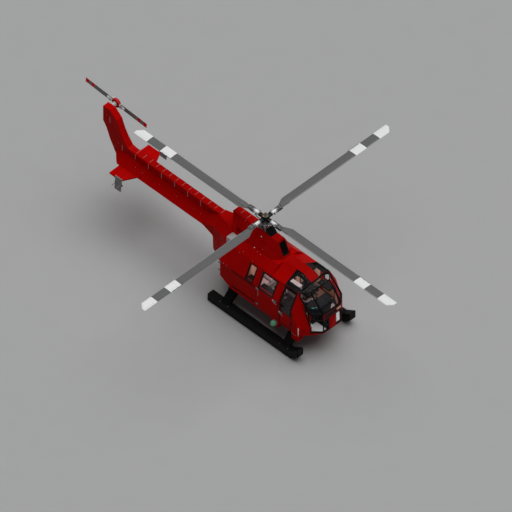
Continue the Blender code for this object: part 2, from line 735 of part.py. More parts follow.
BOOM_ROOM = [(0.185, 1.548), (0.322, 1.706), (0.35, 1.757), (0.336, 1.765), (0.10, 2.002)]
boom_room = loft("boom_room", [ring(x, BOOM_ROOM) for x in (-1.9, BOOM_END + 0.03)])
boolean(boom, cutter("boom_room", boom_room))
fin_seat = box("fin_seat", (-6, -COVER_HALF - GAP, 1.4), (FIN_FOOT, COVER_HALF + GAP, 2.2))
boolean(boom, cutter("fin_seat", fin_seat))

# The cover's front end dies away on the rear body's shoulders.
cover_low = (FIN_FOOT, -COVER_HALF, BOOM_TOP_Z + GAP)
cover = piece("shaft_cover", box("shaft_cover", cover_low, (-1.62, COVER_HALF, COVER_Z)), RED, 0.35)
boolean(cover, rear_room("cover_seat", -GAP))

fin_outline = [
    (-5.13, COVER_Z + GAP),
    (-5.27, 2.282),
    (-5.448, 2.512),
    (-5.572, 2.725),
    (-5.696, 3.028),
    (-5.962, 3.265),
    (-6.228, 3.255),
    (-6.228, 2.705),
    (-6.104, 2.526),
    (-5.944, 2.143),
    (-5.731, 1.761),
    (FIN_FOOT - GAP, 1.62),
    (FIN_FOOT - GAP, COVER_Z + GAP),
]
piece("tail_fin", side_prism("tail_fin", fin_outline, -COVER_HALF, COVER_HALF), RED, 0.35)

stab_low, stab_high = STAB_Z - 0.02, STAB_Z + 0.02
stab_outline = [(-4.62, -0.30), (-4.87, -STAB_TIP), (-5.32, -STAB_TIP), (-5.33, -0.30)]
stab_outline += [(x, -y) for x, y in reversed(stab_outline)]
stabiliser = top_prism("stabiliser", stab_outline, stab_low, stab_high)
stabiliser = piece("stabiliser", stabiliser, RED, 0.35)
slot_outline = [(x + math.copysign(GAP, x + 5.0), y) for x, y in stab_outline]
stab_slot = top_prism("stab_slot", slot_outline, stab_low - GAP, stab_high + GAP)
boolean(boom, cutter("stab_slot", stab_slot))

for side, word in ((-1, "right"), (1, "left")):
    plate_outline = [(-4.99, 1.48), (-4.76, 1.48), (-4.70, 1.99), (-4.96, 1.99)]
    near, far = sorted((side * (PLATE_Y - 0.012), side * (PLATE_Y + 0.012)))
    plate = side_prism(f"end_plate_{word}", plate_outline, near, far)
    plate = piece(f"end_plate_{word}", plate, GREY, 0.4)
    tube_start = (-4.92, side * (STAB_TIP + GAP), STAB_Z)
    tube_end = (-4.92, side * (PLATE_Y - 0.005), STAB_Z)
    tube = cylinder(f"tip_tube_{word}", tube_start, tube_end, 0.025, sides=12)
    join(plate, cutter(f"tip_tube_{word}", tube))

# Tail rotor



def tail_axis(y):
    return Vector((TAIL_HUB.x, y, TAIL_HUB.z))


gear_face = TAIL_HUB.y - 0.045
tail_box = cylinder("tail_gearbox", tail_axis(COVER_HALF + GAP), tail_axis(gear_face), 0.075)
piece("tail_gearbox", tail_box, GREY, 0.4, 0.6)
hub_face = TAIL_HUB.y + 0.05
tail_hub = cylinder("tail_rotor_hub", tail_axis(gear_face + GAP), tail_axis(hub_face), TAIL_HUB_R)
set_origin(piece("tail_rotor_hub", tail_hub, RED, 0.4), TAIL_HUB)


def tail_section(radius, chord, height):
    return [
        Vector((radius, height * v, (0.5 - u) * chord))
        for u, v in ((0, 0), (0.08, 0.6), (0.3, 1), (1, 0.1), (1, -0.1), (0.3, -1), (0.08, -0.6))
    ]


tail_stations = [(0.16, 0.09, 0.016), (0.34, TAIL_CHORD, 0.012), (TAIL_R, TAIL_CHORD, 0.008)]
tail_blade_mesh = loft("tail_blade", [tail_section(*station) for station in tail_stations])
for word, angle in (("front", TAIL_TILT), ("rear", math.pi + TAIL_TILT)):
    tail_blade = piece(f"tail_blade_{word}", tail_blade_mesh.copy(), GREY, 0.5)
    tail_blade.location = TAIL_HUB
    tail_blade.rotation_euler = (0, angle, 0)
    stub = cylinder(f"blade_stub_{word}", (0.10, 0, 0), (0.2, 0, 0), 0.03, sides=12)
    stub_cutter = cutter(f"blade_stub_{word}", stub)
    stub_cutter.location = TAIL_HUB
    stub_cutter.rotation_euler = (0, angle, 0)
    join(tail_blade, stub_cutter)
    hub_room = cylinder(f"hub_room_{word}", (0, -0.2, 0), (0, 0.2, 0), TAIL_HUB_R + GAP)
    hub_cutter = cutter(f"hub_room_{word}", hub_room)
    hub_cutter.location = TAIL_HUB
    boolean(tail_blade, hub_cutter)

# Skids and cross tubes

skid_outline = [(-1.13, 0), (2.10, 0), (2.39, 0.22), (2.39, 0.49), (2.03, SKID_TOP)]
skid_outline += [(-1.13, SKID_TOP)]
for side, word in ((-1, "right"), (1, "left")):
    near, far = sorted((side * (SKID_Y - SKID_HALF), side * (SKID_Y + SKID_HALF)))
    skid = piece(f"skid_{word}", side_prism(f"skid_{word}", skid_outline, near, far), BLACK, 0.6)
    rounded(skid, 0.02)

leg_outline = LEG + [(-y, z) for y, z in reversed(LEG)]
for x, word in zip(LEG_X, ("rear", "front")):
    tube = front_prism(f"cross_tube_{word}", leg_outline, x - LEG_HALF, x + LEG_HALF)
    boolean(piece(f"cross_tube_{word}", tube, BLACK, 0.6), skin_seat)

# Position lights on fairings below the door sills

for side, word, colour in ((-1, "right", GREEN), (1, "left", PORT_RED)):
    block = [(0.873, 0.78), (0.873, 0.51), (0.72, 0.51), (0.62, 0.60), (0.62, 0.78)]
    outline = [(side * y, z) for y, z in block]
    fairing = front_prism(f"light_fairing_{word}", outline, 1.10, 1.37)
    boolean(piece(f"light_fairing_{word}", fairing, RED, 0.35), skin_seat)
    bm = bmesh.new()
    bmesh.ops.create_uvsphere(bm, u_segments=20, v_segments=12, radius=0.095)
    bmesh.ops.translate(bm, vec=(1.25, side * 0.93, 0.64), verts=bm.verts)
    lamp = piece(f"position_light_{word}", mesh_from(f"position_light_{word}", bm), colour, 0.1, 0, 0.8)
    near, far = sorted((side * 0.5, side * (0.873 + GAP)))
    boolean(lamp, cutter(f"lamp_back_{word}", box(f"lamp_back_{word}", (1.0, near, 0.4), (1.5, far, 0.9))))

# Seats and instrument panel

SEAT_FOOT = FLOOR_TOP + GAP
seat_outline = [(1.02, SEAT_FOOT), (1.50, SEAT_FOOT), (1.54, 1.16), (1.16, 1.14)]
seat_outline += [(1.06, 1.74), (0.96, 1.74), (1.00, 1.14)]
for side, word in ((-1, "right"), (1, "left")):
    near, far = sorted((side * 0.14, side * 0.62))
    seat = piece(f"front_seat_{word}", side_prism(f"front_seat_{word}", seat_outline, near, far), LIGHT, 0.8)
    rounded(seat, 0.03)

bench_outline = [(-0.12, SEAT_FOOT), (0.40, SEAT_FOOT), (0.43, 1.20), (0.03, 1.17)]
bench_outline += [(-0.02, 1.70), (-0.12, 1.70)]
bench = piece("rear_bench", side_prism("rear_bench", bench_outline, -0.62, 0.62), LIGHT, 0.8)
rounded(bench, 0.03)

panel_outline = [(2.02, SEAT_FOOT), (2.18, SEAT_FOOT), (2.24, 1.22), (2.20, 1.40)]
panel_outline += [(1.96, 1.38), (1.99, 1.18)]
panel = piece("instrument_panel", side_prism("instrument_panel", panel_outline, -0.34, 0.34), BLACK, 0.7)
pedestal = [(1.62, SEAT_FOOT), (2.06, SEAT_FOOT), (2.06, 1.20), (1.98, 1.18), (1.64, 1.02)]
join(panel, cutter("pedestal", side_prism("pedestal", pedestal, -0.12, 0.12)))
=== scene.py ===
"""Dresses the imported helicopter: paint, glazing, cabin furniture, rotor heads, seams and fasteners.

Every length below is in metres from the rotor mast on the ground line, +X to the nose and
+Y to port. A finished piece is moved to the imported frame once, by MAST.
"""

import json
import math

import bpy
from bpy.props import FloatProperty, FloatVectorProperty, PointerProperty
from mathutils import Matrix, Vector

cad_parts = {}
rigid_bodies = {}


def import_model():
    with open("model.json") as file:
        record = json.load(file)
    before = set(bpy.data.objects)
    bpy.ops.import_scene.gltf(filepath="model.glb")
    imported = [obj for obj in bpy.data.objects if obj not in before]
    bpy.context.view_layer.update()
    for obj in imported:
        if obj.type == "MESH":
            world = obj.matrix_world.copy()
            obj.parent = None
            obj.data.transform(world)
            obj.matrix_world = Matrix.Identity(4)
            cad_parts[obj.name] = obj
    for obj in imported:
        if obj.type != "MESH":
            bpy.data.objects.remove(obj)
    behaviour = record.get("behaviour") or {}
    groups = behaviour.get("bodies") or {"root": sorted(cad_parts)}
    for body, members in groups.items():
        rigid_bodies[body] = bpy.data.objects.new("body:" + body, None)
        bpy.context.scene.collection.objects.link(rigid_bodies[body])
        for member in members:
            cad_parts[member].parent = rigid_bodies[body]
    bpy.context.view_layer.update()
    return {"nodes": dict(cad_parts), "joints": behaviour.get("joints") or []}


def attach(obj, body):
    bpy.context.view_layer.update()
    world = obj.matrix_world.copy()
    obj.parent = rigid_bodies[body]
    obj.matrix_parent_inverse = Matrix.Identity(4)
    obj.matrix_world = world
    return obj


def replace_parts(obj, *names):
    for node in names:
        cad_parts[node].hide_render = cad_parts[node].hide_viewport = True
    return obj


bl_info = {
    "name": "Utility helicopter dresser",
    "version": (1, 0, 0),
    "blender": (4, 5, 0),
    "location": "View3D > Sidebar > Helicopter",
    "description": "Paints and details a light twin-engined utility helicopter on skids",
    "category": "Object",
}

for spare in list(bpy.data.objects):
    bpy.data.objects.remove(spare)

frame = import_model()
NODES = frame["nodes"]
JOINTS = {joint["name"]: joint for joint in frame["joints"]}
ROTOR = Vector(JOINTS["main_rotor_spin"]["pos_m"])
MAST = Vector((ROTOR.x, 0, 0))
HUB_Z = ROTOR.z
TAIL_HUB = Vector(JOINTS["tail_rotor_spin"]["pos_m"]) - MAST
SIDES = ((-1, "right"), (1, "left"))
BLADES = ("front", "left", "rear", "right")

WAIST_Z = 1.52
HALF_WIDTH = 0.875
ROOF_HALF = 0.62
ROOF_EDGE_Z = 2.035
LEAN = (HALF_WIDTH - ROOF_HALF) / (ROOF_EDGE_Z - WAIST_Z)

# The reference view: its axes, the mast's place in its frame, and frame units per metre across and up
VIEW_RIGHT = Vector((0.70711, 0.70711, 0))
VIEW_UP = Vector((-0.5, 0.5, 0.70711))
VIEW_BACK = Vector((0.5, -0.5, 0.70711))
MAST_PLACE = (265.38, 217.73)
VIEW_SCALE = (25.626, 18.12)

# A cushion's voxel size, the depth and half width of its sewn channels, and how long it swells
CLOTH_STEP = 0.011
CHANNEL_DEPTH = 0.008
CHANNEL_WIDTH = 0.009
SWELL_FRAMES = 20


def tint(name, description, default):
    """A colour that can be set in the panel."""
    return FloatVectorProperty(name=name, description=description, subtype="COLOR", size=3, default=default)


class BodyColours(bpy.types.PropertyGroup):
    red: tint("Body red", "Paint of the cabin, cowling, boom and fin", (0.43, 0.0015, 0.001))
    black: tint("Trim black", "Paint of the skids, window frames and fairings", (0.0036, 0.0036, 0.004))
    blade: tint("Blade grey", "Paint of the rotor blades between their white bands", (0.135, 0.135, 0.135))
    band: tint("Band white", "Paint of the main blades' bands and grips", (0.86, 0.86, 0.86))
    tan: tint("Cabin tan", "Trim panels behind the seats and around the doors", (0.80, 0.52, 0.37))
    cloth: tint("Seat grey", "Woven covers of the seats", (0.85, 0.85, 0.87))


def amount(name, description, default, unit="LENGTH"):
    """A number that can be set in the panel."""
    return FloatProperty(name=name, description=description, default=default, unit=unit)


class BodySizes(bpy.types.PropertyGroup):
    tip_band: amount("Tip band", "Radius where a main blade's outer white band starts", 4.42)
    rivet: amount("Rivet", "Radius of a skin rivet's head", 0.006)
    seal: amount("Seal", "Width of the rubber seal around a side window", 0.03)
    key_light: amount("Key light", "Strength of the overhead studio light", 2.6, "NONE")


def colours():
    return bpy.context.scene.heli_colours


def sizes():
    return bpy.context.scene.heli_sizes


# Shader sums


def connect(tree, socket, value):
    if isinstance(value, Flow):
        tree.links.new(value.socket, socket)
    elif hasattr(value, "__len__") and len(value) == 3 and socket.type == "RGBA":
        socket.default_value = (*value, 1)
    else:
        socket.default_value = value


class Flow:
    """A node's output that can be summed and compared as a number."""

    def __init__(self, tree, socket):
        self.tree = tree
        self.socket = socket

    def sum(self, operation, *others):
        node = self.tree.nodes.new("ShaderNodeMath")
        node.operation = operation
        for socket, value in zip(node.inputs, (self, *others)):
            connect(self.tree, socket, value)
        return Flow(self.tree, node.outputs[0])

    def __add__(self, other):
        return self.sum("ADD", other)

    def __sub__(self, other):
        return self.sum("SUBTRACT", other)

    def __rsub__(self, other):
        return (self * -1.0) + other

    def __mul__(self, other):
        return self.sum("MULTIPLY", other)

    def __truediv__(self, other):
        return self.sum("DIVIDE", other)

    def __gt__(self, other):
        return self.sum("GREATER_THAN", other)

    def __lt__(self, other):
        return self.sum("LESS_THAN", other)

    def __abs__(self):
        return self.sum("ABSOLUTE")

    def every(self, step):
        """Distance to the nearest of evenly spaced lines."""
        return abs((self / step + 0.5).sum("FLOORED_MODULO", 1.0) - 0.5) * step


class Finish:
    """One material and the nodes that feed its shader."""

    def __init__(self, name, colour, roughness=0.5, metallic=0.0, **fixed):
        self.material = bpy.data.materials.new(name)
        self.material.use_nodes = True
        self.material.diffuse_color = (*colour, 1)
        self.tree = self.material.node_tree
        self.shader = self.tree.nodes["Principled BSDF"]
        self.colour = colour
        fixed.update(Base_Color=colour, Roughness=roughness, Metallic=metallic)
        self.set(**fixed)

    def set(self, **sockets):
        for name, value in sockets.items():
            connect(self.tree, self.shader.inputs[name.replace("_", " ")], value)
        return self

    def node(self, kind, settings=None, output=0, **sockets):
        node = self.tree.nodes.new("ShaderNode" + kind)
        for key, value in (settings or {}).items():
            setattr(node, key, value)
        for name, value in sockets.items():
            connect(self.tree, node.inputs[name.replace("_", " ")], value)
        return Flow(self.tree, node.outputs[output])

    def place(self, turn=0.0, centre=MAST):
        """Object coordinates from a centre, turned about Z."""
        spot = self.node("TexCoord", output=3)
        moved = self.node("VectorMath", {"operation": "SUBTRACT"}, Vector=spot)
        moved.socket.node.inputs[1].default_value = centre
        if turn:
            moved = self.node("VectorRotate", {"rotation_type": "Z_AXIS"}, Vector=moved, Angle=-turn)
        return moved

    def xyz(self, where=None):
        node = self.tree.nodes.new("ShaderNodeSeparateXYZ")
        connect(self.tree, node.inputs[0], where or self.place())
        return [Flow(self.tree, out) for out in node.outputs]

    def noise(self, scale, detail):
        return self.node("TexNoise", Vector=self.place(), Scale=scale, Detail=detail)

    def mix(self, factor, first, second):
        node = self.tree.nodes.new("ShaderNodeMix")
        node.data_type = "RGBA"
        for index, value in zip((0, 6, 7), (factor, first, second)):
            connect(self.tree, node.inputs[index], value)
        return Flow(self.tree, node.outputs[2])

    def tones(self, factor, low, high):
        """The finish's own colour, from one strength of it to another."""
        return self.mix(factor, shade(self.colour, low), shade(self.colour, high))

    def relief(self, height, distance, strength):
        return self.set(Normal=self.node("Bump", Height=height, Distance=distance, Strength=strength))


def shade(colour, factor):
    return tuple(channel * factor for channel in colour)


def painted(name, colour, seams=None):
    """Sprayed paint: fine orange peel, a little dirt low down and seams across x at an even step."""
    made = Finish(name, colour, 0.34, Specular_IOR_Level=0.015)
    x, y, z = made.xyz()
    streaks = made.noise(9.0, 5.0)
    tone = made.tones((made.noise(1.7, 4.0) - 0.5) * 0.22 + 0.5, 0.9, 1.1)
    grime = (streaks > 0.66) * ((1.25 - z) * 0.3).sum("MAXIMUM", 0.0)
    tone = made.mix(grime, tone, shade(colour, 0.45))
    height = made.noise(140.0, 2.0) * 0.12
    if seams:
        offset, step = seams
        near = (x + offset).every(step) < 0.0035
        tone = made.mix(near, tone, shade(colour, 0.25))
        height = height - near
    made.set(Base_Color=tone, Roughness=streaks * 0.14 + 0.27)
    return made.relief(height, 0.0012, 0.5)


def matt_black(name, colour, scuffs=0.6):
    made = Finish(name, colour, 0.5, Specular_IOR_Level=0.1)
    marks = made.noise(38.0, 6.0)
    tone = made.mix((marks > scuffs) * 0.5, colour, shade(colour, 1.8))
    made.set(Base_Color=tone, Roughness=marks * 0.3 + 0.35)
    return made.relief(made.noise(320.0, 2.0), 0.0015, 0.5)


def metal(name, colour, roughness=0.35, grain=90.0):
    made = Finish(name, colour, roughness, 0.85)
    spots = made.noise(grain, 5.0)
    tone = made.tones(spots, 0.78, 1.12)
    made.set(Base_Color=tone, Roughness=spots * 0.25 + (roughness - 0.1))
    return made.relief(spots, 0.0008, 0.4)


def plain_paint(name, colour, roughness=0.4):
    made = Finish(name, colour, roughness, Specular_IOR_Level=0.15)
    made.set(Base_Color=made.tones(made.noise(30.0, 5.0), 0.88, 1.08))
    return made.relief(made.noise(210.0, 2.0), 0.0008, 0.4)


def blade_paint(name, turn):
    """Grey with two white bands, a bare leading edge and a scuffed surface."""
    grey, white = tuple(colours().blade), tuple(colours().band)
    made = Finish(name, grey, 0.5, Specular_IOR_Level=0.06)
    along, across, up = made.xyz(made.place(turn))
    bands = (along > sizes().tip_band) + (along > 3.49) * (along < 3.90)
    dirt = made.noise(14.0, 6.0)
    tone = made.tones(dirt, 0.86, 1.1)
    tone = made.mix(bands, tone, made.mix(dirt, shade(white, 0.9), white))
    edge = (across < -0.035) * (along > 0.9) * (1.0 - bands)
    tone = made.mix(edge, tone, (0.27, 0.27, 0.275))
    seam = (abs(across - 0.175) < 0.002) * (along > 0.9)
    tone = made.mix(seam * 0.6, tone, (0.05, 0.05, 0.05))
    made.set(Base_Color=tone, Roughness=dirt * 0.2 + 0.32)
    return made.relief(made.noise(240.0, 2.0), 0.0006, 0.4)


def tail_blade_paint():
    grey = (0.20, 0.20, 0.19)
    made = Finish("tail_blade_paint", grey, 0.5, Specular_IOR_Level=0.1)
    x, y, z = made.xyz(made.place(centre=MAST + TAIL_HUB))
    radius = (x * x + z * z).sum("SQRT")
    bands = (radius > 1.06) + (radius > 0.84) * (radius < 0.95)
    dirt = made.noise(22.0, 5.0)
    tone = made.tones(dirt, 0.8, 1.2)
    made.set(Base_Color=made.mix(bands, tone, (0.75, 0.002, 0.002)))
    return made.relief(made.noise(240.0, 2.0), 0.0006, 0.4)


def glass():
    made = Finish("clear_glazing", (0.05, 0.06, 0.065), 0.04, Alpha=0.06, Specular_IOR_Level=0.12)
    return made.set(Roughness=made.noise(3.0, 4.0) * 0.05 + 0.02)


def lens(name, colour):
    made = Finish(name, colour, 0.12, Coat_Weight=0.6)
    x, y, z = made.xyz()
    rings = z.every(0.012)
    made.set(Base_Color=made.mix((rings < 0.003) * 0.5, colour, shade(colour, 0.4)))
    return made.relief(rings, 0.003, 0.5)


def woven(name, colour, pitch=0.004):
    """A plain weave of two threads, softened by fluff."""
    made = Finish(name, colour, 0.85, Sheen_Weight=0.25, Specular_IOR_Level=0.2)
    x, y, z = made.xyz()
    warp = (x + z).every(pitch)
    weft = (y + z * 0.5).every(pitch)
    cloth = (warp + weft) * (1.0 / pitch)
    fluff = made.noise(60.0, 5.0)
    tone = made.tones(cloth, 0.72, 1.06)
    made.set(Base_Color=made.mix(fluff * 0.3, tone, shade(colour, 0.85)))
    return made.relief(cloth, 0.0012, 0.6)


def moulded(name, colour, roughness=0.6):
    """Grained plastic trim."""
    made = Finish(name, colour, roughness, Specular_IOR_Level=0.12)
    grain = made.node("TexVoronoi", Vector=made.place(), Scale=260.0)
    made.set(Base_Color=made.tones(made.noise(5.0, 4.0), 0.9, 1.08))
    return made.relief(grain, 0.0012, 0.5)


def carpet(name, colour):
    made = Finish(name, colour, 0.95, Sheen_Weight=0.3)
    tufts = made.noise(420.0, 4.0)
    made.set(Base_Color=made.tones(tufts, 0.5, 1.6))
    return made.relief(tufts, 0.004, 0.8)


def exhaust_metal():
    """Light sheet metal with straw and blue heat marks towards its mouth."""
    colour = (0.42, 0.415, 0.41)
    made = Finish("exhaust_metal", colour, 0.42, 0.35)
    x, y, z = made.xyz()
    heat = ((-0.80 - x) * 6.0).sum("MAXIMUM", 0.0).sum("MINIMUM", 0.6)
    spots = made.noise(60.0, 5.0)
    tone = made.mix(heat, colour, (0.30, 0.24, 0.18))
    made.set(Base_Color=made.mix(spots * 0.4, tone, shade(colour, 0.7)))
    return made.relief(spots, 0.001, 0.4)


def glowing(name, colour, light):
    return Finish(name, colour, 0.3, Emission_Color=light, Emission_Strength=0.4)


def recipes():
    """Each look's maker, material name, colour and what else the maker takes."""
    tints = colours()
    red, black, tan, blade = tuple(tints.red), tuple(tints.black), tuple(tints.tan), tuple(tints.blade)
    known = {
        "red": (painted, "red_paint", red),
        "boom_red": (painted, "boom_paint", red, (3.13, 1.014)),
        "cowl_red": (painted, "cowling_paint", red, (0.13, 0.58)),
        "deep_red": (painted, "seam_red", shade(red, 0.45)),
        "pale_red": (painted, "strip_red", (0.42, 0.20, 0.19)),
        "strap_red": (painted, "strap_red", (0.43, 0.11, 0.10)),
        "rivet_red": (painted, "rivet_red", shade(red, 0.8)),
        "stud_red": (painted, "stud_red", (0.44, 0.09, 0.08)),
        "hub_red": (painted, "hub_red", (0.70, 0.05, 0.045)),
        "black": (matt_black, "black_paint", black),
        "frame_black": (matt_black, "frame_paint", shade(black, 0.9), 0.7),
        "rubber": (matt_black, "seal_rubber", (0.006, 0.006, 0.006), 0.8),
        "white": (plain_paint, "white_paint", tuple(tints.band)),
        "grey": (plain_paint, "grey_paint", (0.22, 0.22, 0.22)),
        "light_grey": (plain_paint, "light_grey_paint", (0.5, 0.5, 0.5)),
        "yellow": (plain_paint, "yellow_paint", (0.75, 0.45, 0.02)),
        "root_grey": (plain_paint, "blade_root_grey", blade),
        "hub_black": (plain_paint, "hub_coating", (0.014, 0.014, 0.015), 0.35),
        "hub_grey": (plain_paint, "hub_grey", (0.07, 0.07, 0.07)),
        "steel": (metal, "machined_steel", (0.42, 0.42, 0.43), 0.32),
        "cast": (metal, "cast_alloy", (0.30, 0.30, 0.31), 0.5, 160.0),
        "rivet": (metal, "rivet_alloy", (0.55, 0.45, 0.45), 0.45),
        "exhaust": (exhaust_metal,),
        "tail_blade": (tail_blade_paint,),
        "glass": (glass,),
        "green": (lens, "green_lens", (0.11, 0.42, 0.22)),
        "port_red": (lens, "red_lens", (0.60, 0.02, 0.015)),
        "clear": (lens, "clear_lens", (0.75, 0.75, 0.75)),
        "teal": (glowing, "teal_lamp", (0.10, 0.45, 0.45), (0.1, 0.6, 0.6)),
        "seat": (woven, "seat_cloth", tuple(tints.cloth)),
        "tan_seat": (woven, "tan_seat_cloth", tan),
        "dark_seat": (woven, "dark_seat_cloth", (0.014, 0.014, 0.015)),
        "piping": (woven, "seat_piping", (0.10, 0.10, 0.10), 0.002),
        "webbing": (woven, "harness_webbing", (0.05, 0.05, 0.055), 0.002),
        "tan": (moulded, "tan_trim", tan),
        "panel": (moulded, "panel_plastic", (0.007, 0.007, 0.0075)),
        "dial": (moulded, "dial_glass", (0.03, 0.045, 0.05), 0.15),
        "dark_room": (moulded, "dark_lining", (0.012, 0.012, 0.012)),
        "carpet": (carpet, "floor_carpet", (0.018, 0.018, 0.02)),
        "tan_carpet": (carpet, "floor_mat", shade(tan, 0.8)),
    }
    for i, word in enumerate(BLADES):
        known[f"blade_{word}"] = (blade_paint, f"blade_paint_{word}", i * math.pi / 2)
    return known


MADE = {}


def finish(look):
    """Materials by look, each made once."""
    if look not in MADE:
        maker, *given = recipes()[look]
        MADE[look] = maker(*given).material
    return MADE[look]


# The slots of the looks that always fill the same one
SLOTS = {
    "red_paint": "red deep_red pale_red strap_red rivet_red stud_red hub_red",
    "bare_metal": "steel cast rivet clear yellow",
    "exhaust_metal": "exhaust",
    "red_lens": "port_red",
    "seat_cover": "seat tan_seat dark_seat piping webbing",
    "panel_plastic": "panel dial",
    "tan_trim": "tan",
}
SLOT_OF = {look: slot for slot, looks in SLOTS.items() for look in looks.split()}


# Modelling helpers


def deselect():
    if bpy.context.mode != "OBJECT":
        bpy.ops.object.mode_set(mode="OBJECT")
    bpy.ops.object.select_all(action="DESELECT")


def only(target):
    deselect()
    target.select_set(True)
    bpy.context.view_layer.objects.active = target
    return target


def in_edit_mode(target, *steps):
    only(target)
    bpy.ops.object.mode_set(mode="EDIT")
    bpy.ops.mesh.select_all(action="SELECT")
    for step in steps:
        step()
    bpy.ops.object.mode_set(mode="OBJECT")
    return target


def baked():
    """The new shape with its place, turn and size written into its points."""
    bpy.ops.object.transform_apply()
    return bpy.context.active_object


def soften(target, width, segments=2):
    return in_edit_mode(target, lambda: bpy.ops.mesh.bevel(offset=width, segments=segments, affect="EDGES"))


def modified(target, kind, **settings):
    """Adds one modifier with its settings and applies it."""
    modifier = target.modifiers.new(kind, kind)
    for name, value in settings.items():
        setattr(modifier, name, value)
    only(target)
    bpy.ops.object.modifier_apply(modifier=modifier.name)
    return target


def block(low, high, edge=0.004, segments=2):
    """A box between two corners, with its edges eased."""
    deselect()
    low, high = Vector(low), Vector(high)
    size = Vector(abs(b - a) for a, b in zip(low, high))
    bpy.ops.mesh.primitive_cube_add(size=1, location=(low + high) / 2, scale=size)
    return soften(baked(), min(edge, min(size) * 0.4), segments)


def rod(start, end, radius, sides=16, edge=0.0, tip=None):
    """A round bar between two points, tapered where a tip radius is given."""
    deselect()
    start, end = Vector(start), Vector(end)
    along = end - start
    turn = along.to_track_quat("Z", "Y").to_euler()
    bpy.ops.mesh.primitive_cone_add(
        vertices=sides,
        radius1=radius,
        radius2=radius if tip is None else tip,
        depth=along.length,
        location=(start + end) / 2,
        rotation=turn,
    )
    made = baked()
    return soften(made, edge) if edge else made


def post(x, y, low, high, radius, *rest):
    """An upright round bar."""
    return rod((x, y, low), (x, y, high), radius, *rest)


def pin(x, z, inner, outer, radius, *rest):
    """A round bar across the machine."""
    return rod((x, inner, z), (x, outer, z), radius, *rest)


def circle(radius, count, first=0.0):
    """Evenly spaced places round a centre."""
    turns = [first + i * 2 * math.pi / count for i in range(count)]
    return [(radius * math.cos(turn), radius * math.sin(turn)) for turn in turns]


def ball(centre, radius, squash=1.0, segments=16):
    deselect()
    scale = (radius, radius, radius * squash)
    bpy.ops.mesh.primitive_uv_sphere_add(
        segments=segments, ring_count=segments // 2, radius=1, location=centre, scale=scale
    )
    return baked()


def ring_of(centre, axis, radius, thickness, sides=24):
    deselect()
    turn = Vector(axis).to_track_quat("Z", "Y").to_euler()
    bpy.ops.mesh.primitive_torus_add(
        location=centre,
        rotation=turn,
        major_segments=sides,
        minor_segments=8,
        major_radius=radius,
        minor_radius=thickness,
    )
    return baked()


def pipe(points, radius):
    """A bent tube through points, from a curve."""
    deselect()
    bpy.ops.curve.primitive_nurbs_path_add()
    made = bpy.context.active_object
    curve = made.data
    curve.splines.clear()
    spline = curve.splines.new("POLY")
    spline.points.add(len(points) - 1)
    for spot, point in zip(spline.points, points):
        spot.co = (*point, 1)
    made.location = (0, 0, 0)
    curve.dimensions = "3D"
    curve.bevel_depth = radius
    curve.bevel_resolution = 2
    curve.use_fill_caps = True
    bpy.ops.object.convert(target="MESH")
    return bpy.context.active_object


def plate(outline, along, edge=0.0):
    """A flat outline pushed along a vector into a sheet."""
    deselect()
    bpy.ops.mesh.primitive_circle_add(vertices=len(outline), fill_type="NGON")
    made = baked()
    for vertex, point in zip(made.data.vertices, outline):
        vertex.co = point
    push = Vector(along)
    in_edit_mode(
        made,
        lambda: bpy.ops.mesh.extrude_region_move(TRANSFORM_OT_translate={"value": push}),
        lambda: bpy.ops.mesh.select_all(action="SELECT"),
        lambda: bpy.ops.mesh.normals_make_consistent(inside=False),
    )
    return soften(made, edge) if edge else made


def band(inner, outer, thickness, closed=True):
    """A strip of even thickness between two lines of points."""
    count = len(inner)
    deselect()
    bpy.ops.mesh.primitive_grid_add(x_subdivisions=count - (0 if closed else 1), y_subdivisions=1)
    made = baked()
    columns = count + (1 if closed else 0)
    for i, line in enumerate((inner, outer)):
        for column in range(columns):
            made.data.vertices[i * columns + column].co = line[column % count]
    in_edit_mode(
        made,
        lambda: bpy.ops.mesh.remove_doubles(threshold=0.0001),
        lambda: bpy.ops.mesh.normals_make_consistent(inside=False),
    )
    return modified(made, "SOLIDIFY", thickness=thickness, offset=0)


def moved_copy(model, move):
    """A copy with its own mesh, moved by a matrix."""
    twin = model.copy()
    twin.data = model.data.copy()
    bpy.context.collection.objects.link(twin)
    twin.data.transform(move)
    return twin


def turning(angle, centre, axis):
    """The matrix of a turn about a line through a centre."""
    return Matrix.Translation(centre) @ Matrix.Rotation(angle, 4, axis) @ Matrix.Translation(-Vector(centre))


def around(model, count, axis="Z"):
    """A piece and its copies, evenly spaced round a line through the origin."""
    turns = [Matrix.Rotation(i * 2 * math.pi / count, 4, axis) for i in range(1, count)]
    return [model] + [moved_copy(model, turn) for turn in turns]


def standing(point, normal):
    """The matrix that stands a shape on a skin point."""
    return Matrix.Translation(point) @ normal.to_track_quat("Z", "Y").to_matrix().to_4x4()


def joined(pieces):
    deselect()
    for item in pieces:
        item.select_set(True)
    bpy.context.view_layer.objects.active = pieces[0]
    if len(pieces) > 1:
        bpy.ops.object.join()
    return bpy.context.active_object


def settle(name, pieces, look, slot=None, body="airframe", smooth=30, shift=(0, 0, 0)):
    """Joins pieces into one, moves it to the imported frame, finishes it and lets it ride."""
    made = joined(pieces if isinstance(pieces, (list, tuple)) else [pieces])
    made.name = name
    made.data.name = name
    made.data.transform(Matrix.Translation(MAST + Vector(shift)))
    made.data.materials.clear()
    made.data.materials.append(finish(look))
    if smooth:
        only(made)
        bpy.ops.object.shade_smooth_by_angle(angle=math.radians(smooth))
    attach(made, body)
    slot = slot or SLOT_OF.get(look)
    return made


